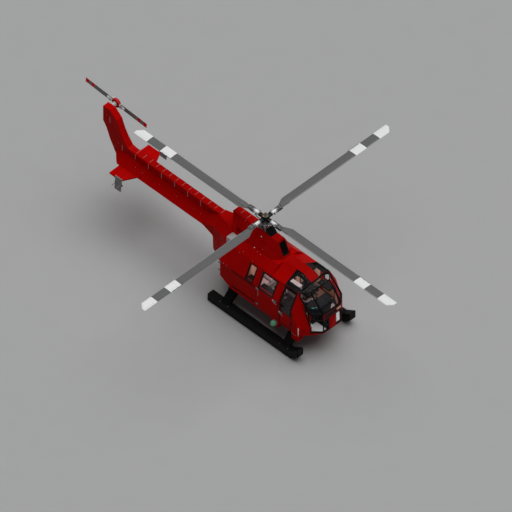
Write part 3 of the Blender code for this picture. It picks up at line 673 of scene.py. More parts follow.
def meets(origin, direction, *names):
    """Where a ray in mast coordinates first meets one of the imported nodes, if it does, and how it faces."""
    start = Vector(origin) + MAST
    way = Vector(direction).normalized()
    best = None
    for name in names:
        hit, spot, normal, face = NODES[name].ray_cast(start, way)
        if hit and (best is None or (spot - start).length < (best[0] - start).length):
            best = (spot, normal)
    if best is None:
        return None
    normal = best[1].normalized()
    if normal.dot(way) > 0:
        normal = -normal
    return best[0] - MAST, normal


def touch(origin, direction, *names):
    found = meets(origin, direction, *names)
    if found is None:
        raise RuntimeError(f"no skin of {names} at {tuple(origin)}")
    return found


def row(origins, direction, *names):
    """Skin points under a row of rays; a ray that passes the skin's edge gives none."""
    found = [meets(origin, direction, *names) for origin in origins]
    return [spot for spot in found if spot]


def ribbon(spots, width, height, lift=0.0):
    """A flat strip laid along skin points, each given with the way its face looks."""
    inner, outer, last = [], [], len(spots) - 1
    for i, (point, normal) in enumerate(spots):
        along = (spots[min(i + 1, last)][0] - spots[max(i - 1, 0)][0]).normalized()
        across = along.cross(normal).normalized() * width / 2
        middle = point + normal * (lift + height / 2)
        inner.append(middle - across)
        outer.append(middle + across)
    return band(inner, outer, height, closed=False)


def strip(origins, direction, width, height, *names):
    """A flat strip on the skin under a row of rays."""
    return ribbon(row(origins, direction, *names), width, height)


def studs(spots, radius, height=0.4, sides=8):
    """Low domed heads on skin points, joined to one piece."""
    model = rod((0, 0, -radius * height), (0, 0, radius * height), radius, sides, tip=radius * 0.55)
    made = [moved_copy(model, standing(point, normal)) for point, normal in spots]
    bpy.data.objects.remove(model)
    return joined(made)


def between(first, last, count):
    return [first + (last - first) * i / (count - 1) for i in range(count)]


def side_y(z, lift=0.0):
    """Half width of the cabin's side at one height, with a lift off the skin."""
    if z <= WAIST_Z:
        return HALF_WIDTH + lift
    return HALF_WIDTH - (z - WAIST_Z) * LEAN + lift * 1.12


def on_side(x, z, side, lift=0.0):
    return Vector((x, side * side_y(z, lift), z))


def seen(u, v, *names):
    """The skin point that the reference view shows at one place of its frame."""
    along = (u - MAST_PLACE[0]) / VIEW_SCALE[0]
    across = (v - MAST_PLACE[1]) / VIEW_SCALE[1]
    start = Vector(((along + across) / 2, (along - across) / 2, HUB_Z))
    return touch(start + VIEW_BACK * 20, -VIEW_BACK, *names)


def handed(spots, side):
    """Skin points seen on the starboard side, carried to either side."""
    turn = Vector((1, -side, 1))
    return [(point * turn, normal * turn) for point, normal in spots]


def side_loop(x0, x1, z0, z1, side, lift=0.0):
    """A rectangle's outline on the cabin's side, bent where the side leans in."""
    bend = min(max(WAIST_Z, z0), z1)
    points = [(x0, z0), (x1, z0), (x1, bend), (x1, z1), (x0, z1), (x0, bend)]
    return [on_side(x, z, side, lift) for x, z in points]


# The steps


class HELI_OT_paint(bpy.types.Operator):
    """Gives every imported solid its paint, metal, glass or trim"""

    bl_idname = "heli.paint"
    bl_label = "Paint the packed solids"

    def execute(self, context):
        looks = {
            "boom_red": "tail_boom shaft_cover",
            "cowl_red": "engine_cowling",
            "frame_black": "canopy_frame",
            "glass": "canopy_glass",
            "black": "mast_fairing cross_tube_front cross_tube_rear",
            "dark_room": "air_intake",
            "cast": "engines main_gearbox",
            "steel": "rotor_mast swashplate",
            "hub_black": "rotor_hub",
            "light_grey": "tail_gearbox",
            "tail_blade": "tail_blade_front tail_blade_rear",
            "panel": "instrument_panel",
            "carpet": "cabin_floor",
            "tan": "cabin_bulkhead",
            "green": "position_light_right",
            "port_red": "position_light_left",
            "seat": "rear_bench",
        }
        look_of = {node: look for look, nodes in looks.items() for node in nodes.split()}
        paired = {"skid": "black", "exhaust": "exhaust", "end_plate": "grey", "front_seat": "seat"}
        paired.update(dict.fromkeys(("quarter_glass", "sliding_glass", "front_door_glass"), "glass"))
        for side, word in SIDES:
            look_of.update({f"{name}_{word}": look for name, look in paired.items()})
        look_of.update({f"main_blade_{word}": f"blade_{word}" for word in BLADES})
        for name, node in NODES.items():
            node.data.materials.clear()
            node.data.materials.append(finish(look_of.get(name, "red")))
        return {"FINISHED"}


# Where the reference view shows the outline of the black surround of one roof pane
PANE_SURROUND = (
    *((297.5, 271.5), (293, 276.5), (289, 281.5), (286.5, 284), (287.5, 284.2), (291, 280.4)),
    *((294, 278.2), (297, 276), (301, 278.2), (304, 281.2), (304, 286), (302, 288.2)),
    *((303, 289.5), (308.5, 285.5), (306.5, 279), (302.5, 275.2)),
)


class HELI_OT_windows(bpy.types.Operator):
    """Adds the side windows' rubber seals and dark sills, the roof rails and a roof pane's surround"""

    bl_idname = "heli.windows"
    bl_label = "Seal the windows"

    def sill(self, x0, x1, z0, z1, side):
        """The ledge under an opening and the dark edges of the skin round it."""
        lip = side * (side_y(z0) - 0.046)
        made = [block((x0 - 0.03, side * 0.62, z0 - 0.05), (x1 + 0.03, lip, z0 - 0.006))]
        low = (x0 + 0.002, side * 0.829, z0 + 0.001)
        made.append(block(low, (x1 - 0.002, side * 0.862, z0 + 0.007), 0.002))
        levels = sorted({z0, WAIST_Z, z1})
        for x in (x0 + 0.001, x1 - 0.006):
            outline = [on_side(x, z0, side, -0.046)]
            outline += [on_side(x, z, side, -0.018) for z in levels]
            outline += [on_side(x, z, side, -0.046) for z in levels[:0:-1]]
            made.append(plate(outline, (0.005, 0, 0)))
        return made

    def execute(self, context):
        width = sizes().seal
        wide = (width, width, width * 0.6)
        top = 1.965
        openings = {
            "quarter": (0.10, 0.34, WAIST_Z, wide),
            "sliding": (0.60, 1.13, WAIST_Z, wide),
            "front": (1.44, 1.85, 1.26, (0.02, 0.034, 0.02)),
        }
        for side, word in SIDES:
            for name, (x0, x1, z0, (aft, fore, rise)) in openings.items():
                body = f"front_door_{word}" if name == "front" else "airframe"
                inner = side_loop(x0 + 0.012, x1 - 0.012, z0 + 0.012, top - 0.012, side, 0.002)
                outer = side_loop(x0 - aft, x1 + fore, z0 - rise, top + rise, side, 0.002)
                settle(f"{name}_window_seal_{word}", band(inner, outer, 0.006), "rubber", body=body, smooth=0)
                settle(f"{name}_window_sill_{word}", self.sill(x0, x1, z0, top, side), "dark_room", body=body)
            corners = ((1.392, 1.991), (1.888, 1.991), (1.888, 2.034), (1.392, 2.034))
            rail = plate([on_side(x, z, side, 0.001) for x, z in corners], (0, side * 0.003, 0.0015))
            ledge = block((1.388, side * 0.436, 2.0352), (1.888, side * 0.614, 2.039))
            settle(f"roof_rail_{word}", [rail, ledge], "frame_black")
        outline = [seen(u, v, "canopy_glass", "canopy_frame") for u, v in PANE_SURROUND]
        surround = plate([p + Vector((0, -0.002, 0.004)) for p, n in outline], (0, -0.002, 0.004))
        settle("roof_pane_surround", surround, "frame_black")
        return {"FINISHED"}


class HELI_OT_doors(bpy.types.Operator):
    """Adds the doors' seams, handles, hinges and slide rails"""

    bl_idname = "heli.doors"
    bl_label = "Fit the doors"

    def edge_line(self, x0, x1, z0, z1, side, width, lift):
        inner = side_loop(x0 + width, x1 - width, z0 + width, z1 - width, side, lift)
        return band(inner, side_loop(x0, x1, z0, z1, side, lift), 0.003)

    def handle(self, name, x, z, length, side, word, body="airframe"):
        """A grip on its base plate and the lock's knob above it."""
        base = block((x - 0.05, side * 0.8755, z - 0.035), (x + 0.07, side * 0.882, z + 0.035), 0.003)
        bends = (
            (x - 0.035, 0.88, z),
            (x - 0.03, 0.905, z),
            (x + length - 0.05, 0.905, z - 0.045),
            (x + length - 0.045, 0.882, z - 0.05),
        )
        grip = pipe([(a, side * b, c) for a, b, c in bends], 0.009)
        settle(f"{name}_handle_{word}", [base, grip], "grey", body=body)
        settle(f"{name}_lock_{word}", ball((x - 0.035, side * 0.89, z + 0.028), 0.014), "white", body=body)

    def hinges(self, low, high, axis, heights, half):
        """Leaves between two places in x and y, each with a pin that stands a little prouder."""
        made = []
        for z in heights:
            made.append(block((*low, z - half), (*high, z + half), 0.003))
            made.append(rod((*axis, z - half - 0.002), (*axis, z + half + 0.002), 0.0045))
        return made

    def execute(self, context):
        for side, word in SIDES:
            door, rear = f"front_door_{word}", f"rear_door_{word}"
            line = self.edge_line(1.4085, 1.8865, 0.780, 1.984, side, 0.030, 0.0015)
            settle(f"front_door_edge_{word}", line, "frame_black", body=door, smooth=0)
            self.handle("front_door", 1.455, 1.16, 0.15, side, word, door)
            low, high, axis = (1.835, side * 0.876), (1.885, side * 0.888), (1.885, side * 0.8855)
            hinges = self.hinges(low, high, axis, (0.98, 1.36), 0.03)
            settle(f"front_door_hinges_{word}", hinges, "black", body=door)

            line = self.edge_line(0.497, 1.333, 0.797, 1.991, side, 0.007, 0.001)
            settle(f"sliding_door_seam_{word}", line, "rubber", smooth=0)
            self.handle("sliding_door", 1.215, 1.43, 0.14, side, word)
            rails, tracks = [], (1.455, 0.875)
            for z in tracks:
                for edge in (-0.016, 0.009):
                    low = (-0.42, side * 0.876, z + edge)
                    rails.append(block(low, (0.49, side * 0.884, z + edge + 0.007), 0.002))
                rails.append(block((-0.44, side * 0.876, z - 0.02), (-0.42, side * 0.886, z + 0.02), 0.003))
            settle(f"sliding_door_rails_{word}", rails, "rubber")
            inner, outer = side * 0.877, side * 0.892
            carriers = [block((0.515, inner, z - 0.03), (0.59, outer, z + 0.03)) for z in tracks]
            carriers += [rod((0.49, side * 0.885, z), (0.53, side * 0.885, z), 0.007) for z in tracks]
            settle(f"sliding_door_carriers_{word}", carriers, "grey")

            low, high, axis = (-0.965, side * 0.876), (-0.90, side * 0.887), (-0.904, side * 0.8865)
            hinges = self.hinges(low, high, axis, (1.17, 1.44), 0.025)
            settle(f"rear_door_hinges_{word}", hinges, "grey", body=rear)
            x = touch((-3, side * 0.05, 1.3), (1, 0, 0), rear)[0].x
            latch = [
                block((x - 0.012, side * 0.03, 1.27), (x + 0.02, side * 0.075, 1.33), 0.003),
                post(x - 0.02, side * 0.052, 1.25, 1.35, 0.007),
            ]
            settle(f"rear_door_latch_{word}", latch, "grey", body=rear)
        return {"FINISHED"}


def swollen(pad, push, cap):
    """Blows a padded shape up as cloth, holding every point near its start."""
    starts = [vertex.co.copy() for vertex in pad.data.vertices]
    only(pad)
    cloth = pad.modifiers.new("cloth", "CLOTH")
    settings = {
        "quality": 5,
        "mass": 0.3,
        "tension_stiffness": 12,
        "compression_stiffness": 12,
        "bending_stiffness": 1.2,
        "use_pressure": True,
        "uniform_pressure_force": push,
    }
    for name, value in settings.items():
        setattr(cloth.settings, name, value)
    cloth.settings.effector_weights.gravity = 0
    cloth.collision_settings.use_collision = False
    for number in range(1, SWELL_FRAMES + 1):
        bpy.context.scene.frame_set(number)
    bpy.ops.object.modifier_apply(modifier=cloth.name)
    bpy.context.scene.frame_set(1)
    for vertex, start in zip(pad.data.vertices, starts):
        move = vertex.co - start
        if move.length > cap:
            vertex.co = start + move.normalized() * cap


def cushion(low, high, channels=(), axis=0, cap=0.016):
    """A stuffed pad in a box: blown up as cloth, then sewn into channels along lines."""
    rim = Vector((0.014, 0.014, 0.014))
    made = block(Vector(low) + rim, Vector(high) - rim, 0.024, 3)
    modified(made, "REMESH", mode="VOXEL", voxel_size=CLOTH_STEP)
    swollen(made, 4.0, cap)
    modified(made, "SUBSURF", levels=1, render_levels=1)
    for vertex in made.data.vertices:
        for line in channels:
            away = abs(vertex.co[axis] - line)
            if away < 0.03:
                vertex.co -= vertex.normal * CHANNEL_DEPTH * math.exp(-((away / CHANNEL_WIDTH) ** 2))
    return made


def onto(target, points, lift):
    """The points moved to the nearest place on a mesh, raised a little."""
    spots = []
    for point in points:
        hit, spot, normal, face = target.closest_point_on_mesh(Vector(point))
        spots.append((spot + normal * lift, normal))
    return spots


def piping(target, corners, radius=0.005):
    """A sewn cord round a cushion's edge."""
    points = []
    for corner, following in zip(corners, corners[1:] + corners[:1]):
        points += [Vector(corner).lerp(Vector(following), t / 8) for t in range(8)]
    return pipe([spot for spot, normal in onto(target, points + points[:1], radius * 0.4)], radius)


class HELI_OT_seats(bpy.types.Operator):
    """Builds the pilots' seats and the bench, with their covers, frames and harnesses"""

    bl_idname = "heli.seats"
    bl_label = "Upholster the seats"

    def belt(self, pad, x, reach):
        return ribbon(onto(pad, [(x, y, 1.3) for y in between(-reach, reach, 12)], 0.004), 0.045, 0.004)

    def front(self):
        """The parts of one pilot's seat on the middle line, each with its look."""
        base = cushion((1.00, -0.235, 1.035), (1.535, 0.235, 1.165), (1.18, 1.33))
        corners = [(1.01, -0.23), (1.525, -0.23), (1.525, 0.23), (1.01, 0.23)]
        cords = [piping(base, [(x, y, 1.15) for x, y in corners])]
        back = cushion((0.985, -0.225, 1.15), (1.085, 0.225, 1.60), (1.30, 1.44), 2)
        corners = [(-0.22, 1.16), (0.22, 1.16), (0.22, 1.59), (-0.22, 1.59)]
        cords.append(piping(back, [(1.075, y, z) for y, z in corners]))
        head = cushion((0.99, -0.13, 1.615), (1.07, 0.13, 1.745), cap=0.012)
        for item in (back, cords[1], head):
            item.data.transform(turning(-math.radians(4), (1.03, 0, 1.16), "Y"))
        straps = [ribbon(onto(back, [(1.2, y, z) for z in between(1.22, 1.585, 12)], 0.002), 0.045, 0.004)
                  for y in (-0.09, 0.09)]
        straps.append(self.belt(base, 1.16, 0.22))
        return {
            "cushion": (base, "dark_seat"),
            "backrest": (back, "seat"),
            "headrest": (head, "seat"),
            "piping": (joined(cords), "piping"),
            "harness": (joined(straps), "webbing"),
            "buckle": (block((1.13, -0.035, 1.178), (1.19, 0.035, 1.192), 0.005), "steel"),
            "frame": (self.stand(), "panel"),
        }

    def stand(self):
        """Tubes and a pan that carry one pilot's seat."""
        made = [block((1.02, -0.21, 1.005), (1.50, 0.21, 1.035), 0.008)]
        for y in (-0.19, 0.19):
            made.append(pipe([(1.06, y, 0.835), (1.06, y, 1.01)], 0.016))
            made.append(pipe([(1.38, y, 0.835), (1.42, y, 1.01)], 0.016))
            made.append(pipe([(1.00, y, 0.835), (1.48, y, 0.835)], 0.014))
            made.append(pipe([(1.02, y, 1.02), (0.985, y, 1.18), (0.955, y, 1.60)], 0.014))
        made.append(pipe([(1.38, -0.19, 0.90), (1.38, 0.19, 0.90)], 0.012))
        made.append(pipe([(0.955, -0.19, 1.60), (0.955, 0.19, 1.60)], 0.014))
        shell = [(0.952, -0.21, 1.14), (0.932, -0.21, 1.60), (0.932, 0.21, 1.60), (0.952, 0.21, 1.14)]
        made.append(plate(shell, (0.02, 0, 0), 0.004))
        return joined(made)

    def execute(self, context):
        for name, (model, look) in self.front().items():
            twin = moved_copy(model, Matrix.Translation((0, 0.38, 0)))
            model.data.transform(Matrix.Translation((0, -0.38, 0)))
            for item, word in ((model, "right"), (twin, "left")):
                shown = "tan_seat" if (look, word) == ("seat", "left") else look
                made = settle(f"seat_{name}_{word}", item, shown)
                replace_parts(made, f"front_seat_{word}")
                look in ("seat", "dark_seat")

        pad = cushion((0.0, -0.20, 1.055), (0.43, 0.20, 1.195), (0.14, 0.28))
        rest = cushion((-0.11, -0.20, 1.18), (-0.015, 0.20, 1.70), (1.34, 1.50), 2)
        belt = self.belt(pad, 0.10, 0.19)
        bench = (("cushion", pad, "seat"), ("backrest", rest, "tan_seat"), ("belt", belt, "webbing"))
        for name, model, look in bench:
            twins = [moved_copy(model, Matrix.Translation((0, y, 0))) for y in (-0.41, 0.41)]
            for number, item in enumerate((model, *twins), 1):
                made = settle(f"bench_{name}_{number}", item, look)
                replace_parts(made, "rear_bench")
                name != "belt"
        box = [
            block((-0.10, -0.61, 0.822), (0.385, 0.61, 1.03), 0.012),
            block((-0.12, -0.615, 1.028), (0.42, 0.615, 1.055), 0.008),
            block((-0.128, -0.615, 1.05), (-0.112, 0.615, 1.69), 0.006),
        ]
        box += [block((0.384, y - 0.17, 0.86), (0.392, y + 0.17, 0.99)) for y in (-0.41, 0.0, 0.41)]
        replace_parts(settle("bench_box", box, "light_grey", "seat_cover"), "rear_bench")
        return {"FINISHED"}


class HELI_OT_cockpit(bpy.types.Operator):
    """Adds the glareshield, console, locker, instruments, sticks, levers and pedals"""

    bl_idname = "heli.cockpit"
    bl_label = "Furnish the cockpit"

    def middle(self):
        """What stands on the middle line: glareshield, console, locker and compass."""
        half = [(1.965, 0.0), (1.975, 0.36), (2.13, 0.40), (2.30, 0.30), (2.335, 0.0)]
        outline = [(x, y, 1.405) for x, y in half] + [(x, -y, 1.405) for x, y in half[-2:0:-1]]
        lip = block((1.97, -0.355, 1.375), (1.985, 0.355, 1.41), 0.006)
        settle("glareshield", [plate(outline, (0, 0, 0.035), 0.010), lip], "panel")

        profile = [(1.58, 1.10), (2.03, 1.10), (2.03, 1.30), (1.80, 1.24)]
        slope = plate([(x, -0.13, z) for x, z in profile], (0, 0.26, 0), 0.01)
        settle("centre_console", [block((1.60, -0.135, 0.822), (2.03, 0.135, 1.10), 0.012), slope], "panel")
        keys = []
        for i in range(4):
            x = 1.64 + i * 0.036
            z = 1.10 + (x - 1.58) * 0.636
            for y in (-0.085, -0.03, 0.03, 0.085):
                low = (x - 0.012, y - 0.017, z + 0.002)
                keys.append(block(low, (x + 0.012, y + 0.017, z + 0.016), 0.003))
        settle("console_keys", keys, "grey", "panel_plastic")
        throttles = []
        for y in (-0.03, 0.03):
            throttles += [pipe([(1.90, y, 1.26), (1.87, y, 1.36)], 0.006), ball((1.868, y, 1.365), 0.017)]
        settle("throttle_levers", throttles, "light_grey", "panel_plastic")

        locker = [block((0.97, -0.13, 0.822), (1.37, 0.072, 1.478), 0.008)]
        locker.append(block((0.962, -0.134, 1.482), (1.378, 0.076, 1.50), 0.005))
        locker += [block((0.99, -0.134, z), (1.35, -0.129, z + 0.18), 0.002) for z in (0.90, 1.12)]
        settle("centre_locker", locker, "light_grey", "panel_plastic")
        latches = [block((1.14, -0.138, z), (1.20, -0.133, z + 0.02), 0.002) for z in (1.05, 1.27)]
        settle("locker_latches", latches, "steel")
        compass = [post(1.98, 0, 1.44, 1.475, 0.020, 16, 0.004), ball((1.98, 0, 1.49), 0.032, 0.9)]
        settle("standby_compass", compass, "panel")

    def instruments(self):
        screens, rims, dials = [], [], []
        for y in (-0.25, 0.25):
            rims.append(block((1.962, y - 0.075, 1.205), (1.985, y + 0.075, 1.345), 0.006))
            screens.append(block((1.957, y - 0.06, 1.22), (1.965, y + 0.06, 1.33), 0.003))
        for y in (-0.12, -0.04, 0.04, 0.12):
            for z in (1.235, 1.315):
                rims.append(ring_of((1.972, y, z), (1, 0, 0), 0.030, 0.005))
                dials.append(rod((1.985, y, z), (1.966, y, z), 0.029, 24, 0.002))
        settle("instrument_rims", rims, "grey", "panel_plastic")
        settle("instrument_screens", screens, "dial")
        settle("instrument_dials", dials, "dial")
        places = ((2.16, -0.33), (2.19, -0.30), (2.22, -0.24))
        lamps = [ball((x, y, 1.441), 0.013, 0.6, 12) for x, y in places]
        settle("warning_lamps", lamps, "teal")

    def execute(self, context):
        self.middle()
        self.instruments()
        for side, word in SIDES:
            y = side * 0.38
            stick = [
                pipe([(1.68, y, 0.822), (1.66, y, 0.96), (1.60, y, 1.12), (1.61, y, 1.24)], 0.013),
                rod((1.68, y, 0.822), (1.672, y, 0.90), 0.045, 20, 0.006, 0.018),
            ]
            settle(f"cyclic_stick_{word}", stick, "grey", "panel_plastic")
            grip = [
                rod((1.61, y, 1.235), (1.625, y, 1.345), 0.021, 14, 0.006),
                block((1.60, y - 0.022, 1.335), (1.65, y + 0.022, 1.365), 0.008),
            ]
            settle(f"cyclic_grip_{word}", grip, "panel")
            reach = side * 0.68
            lever = [
                pipe([(1.05, reach, 0.85), (1.20, reach, 0.98), (1.46, reach, 1.13)], 0.012),
                rod((1.36, reach, 1.072), (1.48, reach, 1.142), 0.022, 14, 0.005),
            ]
            settle(f"collective_lever_{word}", lever, "light_grey", "panel_plastic")
            pedals = []
            for foot in (y - 0.10, y + 0.10):
                pedals.append(pipe([(1.86, foot, 0.83), (1.95, foot, 0.92), (1.95, foot, 0.99)], 0.009))
                pedals.append(block((1.935, foot - 0.045, 0.94), (1.948, foot + 0.045, 1.04)))
                for z in (0.96, 0.985, 1.01):
                    pedals.append(block((1.928, foot - 0.04, z), (1.937, foot + 0.04, z + 0.007), 0.001))
            settle(f"pedals_{word}", pedals, "light_grey", "panel_plastic")
        return {"FINISHED"}


class HELI_OT_linings(bpy.types.Operator):
    """Lines the cabin's walls, doors, floor and nose"""

    bl_idname = "heli.linings"
    bl_label = "Line the cabin"

    def cheek(self, side):
        """The trim on the slanted wall between a front door and the nose."""
        inward = Vector((-0.475, -side * 0.880, 0))
        forward = Vector((0.880, -side * 0.475, 0))
        start = Vector((1.945, side * 0.845, 0)) + inward * 0.052
        profile = ((0, 0.84), (0.28, 0.84), (0.28, 1.16), (0.10, 1.42), (0, 1.46))
        outline = [start + forward * reach + Vector((0, 0, z)) for reach, z in profile]
        return plate(outline, inward * 0.01, 0.003)

    def floor(self):
        mats = (("cabin", -0.12, 0.935, "light_grey"), ("cockpit", 0.94, 1.86, "tan_carpet"))
        for name, x0, x1, look in mats:
            outline = [(x0, -0.80, 0.821), (x1, -0.80, 0.821), (x1, 0.80, 0.821), (x0, 0.80, 0.821)]
            settle(f"{name}_mat", plate(outline, (0, 0, 0.006), 0.002), look, "floor_covering")
        rails = [block((x, -0.79, 0.826), (x + 0.02, 0.79, 0.832), 0.002) for x in (0.46, 0.94)]
        rails += [block((0.44, y - 0.01, 0.826), (0.98, y + 0.01, 0.832), 0.002) for y in (-0.45, 0.45)]
        settle("seat_rails", rails, "steel")
        treads = []
        half = ((1.99, 0.66), (2.34, 0.54), (2.57, 0.33), (2.57, 0.19), (1.99, 0.19))
        for side, word in SIDES:
            treads.append(plate([(x, side * y, 0.823) for x, y in half], (0, 0, 0.006), 0.002))
            for x in between(2.08, 2.48, 6):
                treads.append(block((x, side * 0.22, 0.828), (x + 0.012, side * 0.38, 0.834), 0.002))
        settle("nose_treads", treads, "white", "panel_plastic")
        duct = [block((1.99, -0.185, 0.823), (2.59, 0.185, 0.831), 0.002)]
        duct += [block((2.26, y - 0.02, 0.83), (2.56, y + 0.02, 0.85), 0.006) for y in (-0.12, 0.0, 0.12)]
        settle("nose_duct", duct, "frame_black", "panel_plastic")

    def execute(self, context):
        self.floor()
        for side, word in SIDES:
            wall = [block((x0, side * 0.818, 0.84), (x1, side * 0.828, 1.49))
                    for x0, x1 in ((-0.125, 0.485), (0.515, 1.315))]
            for x in (0.62, 1.02):
                wall.append(block((x, side * 0.802, 1.12), (x + 0.24, side * 0.819, 1.17), 0.006))
            settle(f"cabin_lining_{word}", wall, "tan")
            inner = [block((1.425, side * 0.818, 0.85), (1.855, side * 0.828, 1.225))]
            inner.append(block((1.50, side * 0.795, 1.08), (1.75, side * 0.819, 1.115), 0.008))
            settle(f"front_door_lining_{word}", inner, "tan", body=f"front_door_{word}")
            settle(f"cheek_lining_{word}", self.cheek(side), "tan")
            trim = [
                block((2.615, side * 0.33, 1.285), (2.624, side * 0.352, 1.50), 0.002),
                block((2.353, side * 0.612, 1.285), (2.375, side * 0.628, 1.50), 0.002),
            ]
            for z0, z1 in ((1.452, 1.464), (1.292, 1.300)):
                trim.append(block((2.6205, side * 0.02, z0), (2.626, side * 0.33, z1), 0.001))
            settle(f"nose_trim_{word}", trim, "red")
        settle("nose_vent", block((2.6205, 0.16, 1.345), (2.6255, 0.325, 1.43), 0.002), "tan")
        settle("nose_plate", block((2.6205, -0.118, 0.802), (2.6265, 0.118, 1.235), 0.003), "red")
        return {"FINISHED"}


class HELI_OT_rotor_head(bpy.types.Operator):
    """Adds the main rotor's grips, pitch horns, cap, bolts and control rods"""

    bl_idname = "heli.rotor_head"
    bl_label = "Rig the rotor head"

    def arms(self):
        """What each of the four arms carries, with heights from the blades' plane."""
        fork = [block((0.40, -0.062, side * 0.040), (0.64, 0.062, side * 0.050)) for side in (-1, 1)]
        places = ((0.50, 0.028), (0.50, -0.028), (0.60, 0.0))
        pins = [post(x, y, -0.062, 0.062, 0.017, 6, 0.003) for x, y in places]
        horn = [
            block((0.28, 0.03, -0.030), (0.325, 0.105, -0.005), 0.006),
            pipe([(0.30, 0.09, -0.02), (0.20, 0.10, -0.05), (0.09, 0.085, -0.075)], 0.013),
            ball((0.087, 0.086, -0.075), 0.020),
        ]
        collars = [
            rod((0.225, 0, 0), (0.265, 0, 0), 0.058, 24, 0.006),
            rod((0.415, 0, 0), (0.452, 0, 0), 0.056, 24, 0.006),
        ]
        link = [block((0.088, -0.05, -0.045), (0.20, 0.05, 0.045), 0.012)]
        bare = "bare_metal"
        return {
            "grip_collars": (collars, "light_grey", bare),
            "grip_sleeves": ([rod((0.262, 0, 0), (0.418, 0, 0), 0.0505, 24, 0.002)], "white", bare),
            "blade_forks": (fork, "root_grey", bare),
            "blade_bolts": (pins, "hub_black", bare),
            "pitch_horns": (horn, "hub_grey", bare),
            "balance_weights": ([block((0.27, -0.10, -0.012), (0.31, -0.045, 0.012))], "hub_grey", bare),
            "hub_bolts": ([post(0.073, 0, 0.104, 0.118, 0.016, 6)], "yellow", bare),
            "hub_arms": (link, "hub_black", "hub_paint"),
        }

    def execute(self, context):
        top = (0, 0, HUB_Z)
        for name, (model, look, slot) in self.arms().items():
            settle(name, around(joined(model), 4), look, slot, "main_rotor", shift=top)
        cap = [post(0, 0, 0.088, 0.106, 0.098, 32, 0.004), post(0, 0, 0.104, 0.118, 0.042, 24, 0.004)]
        settle("hub_cap", cap, "hub_grey", "hub_paint", "main_rotor", shift=top)

        nuts = []
        for x, y in circle(0.12, 4, math.pi / 4):
            nuts += [post(x, y, 3.02, 3.06, 0.018, 6, 0.003), post(x, y, 2.88, 2.93, 0.017, 6, 0.003)]
        settle("control_rod_nuts", nuts, "cast", body="main_rotor")
        collars = [ring_of((0, 0, z), (0, 0, 1), 0.062, 0.008, 32) for z in (2.86, 2.97, 3.09)]
        collars.append(ring_of((0, 0, 3.04), (0, 0, 1), 0.139, 0.006, 40))
        settle("mast_collars", collars, "steel", body="main_rotor")

        posts, feet = [], []
        for x, y in circle(0.205, 12)[5:8]:
            posts.append(post(x, y, 2.56, 2.86, 0.024, 16, 0.004))
            posts.append(rod((x, y, 2.86), (x * 0.93, y * 0.93, 2.95), 0.012, 12, 0.002))
            posts.append(ball((x * 0.93, y * 0.93, 2.955), 0.018))
            feet.append(block((x - 0.04, y - 0.04, 2.551), (x + 0.04, y + 0.04, 2.60), 0.006))
        settle("swashplate_actuators", posts, "light_grey", "bare_metal")
        feet.append(post(0, 0, 2.551, 2.66, 0.12, 32, 0.008, 0.085))
        feet += [post(x, y, 2.551, 2.575, 0.011, 6) for x, y in circle(0.145, 12)]
        settle("gearbox_top", feet, "cast")
        return {"FINISHED"}


class HELI_OT_blades(bpy.types.Operator):
    """Adds the main blades' root plates and trim tabs"""

    bl_idname = "heli.blades"
    bl_label = "Finish the main blades"

    def execute(self, context):
        z = HUB_Z
        tab = [block((3.42, 0.216, z - 0.002), (3.86, 0.232, z + 0.003), 0.0008)]
        tab += [block((x, 0.206, z + 0.003), (x + 0.03, 0.226, z + 0.006), 0.001) for x in (3.46, 3.62, 3.78)]
        plates = []
        for x, long in ((0.66, 0.16), (0.82, 0.12), (0.94, 0.08)):
            top = touch((x + long / 2, 0.06, z + 0.3), (0, 0, -1), "main_blade_front")[0].z
            plates.append(block((x, 0.0, top - 0.003), (x + long, 0.12, top + 0.003), 0.002))
        for name, model in (("trim_tab", tab), ("root_plates", plates)):
            for word, item in zip(BLADES, around(joined(model), 4)):
                settle(f"{name}_{word}", item, "root_grey", "blade_paint", "main_rotor")
        return {"FINISHED"}


def cowl_side(x, z, side):
    return touch((x, side * 3, z), (0, -side, 0), "engine_cowling")


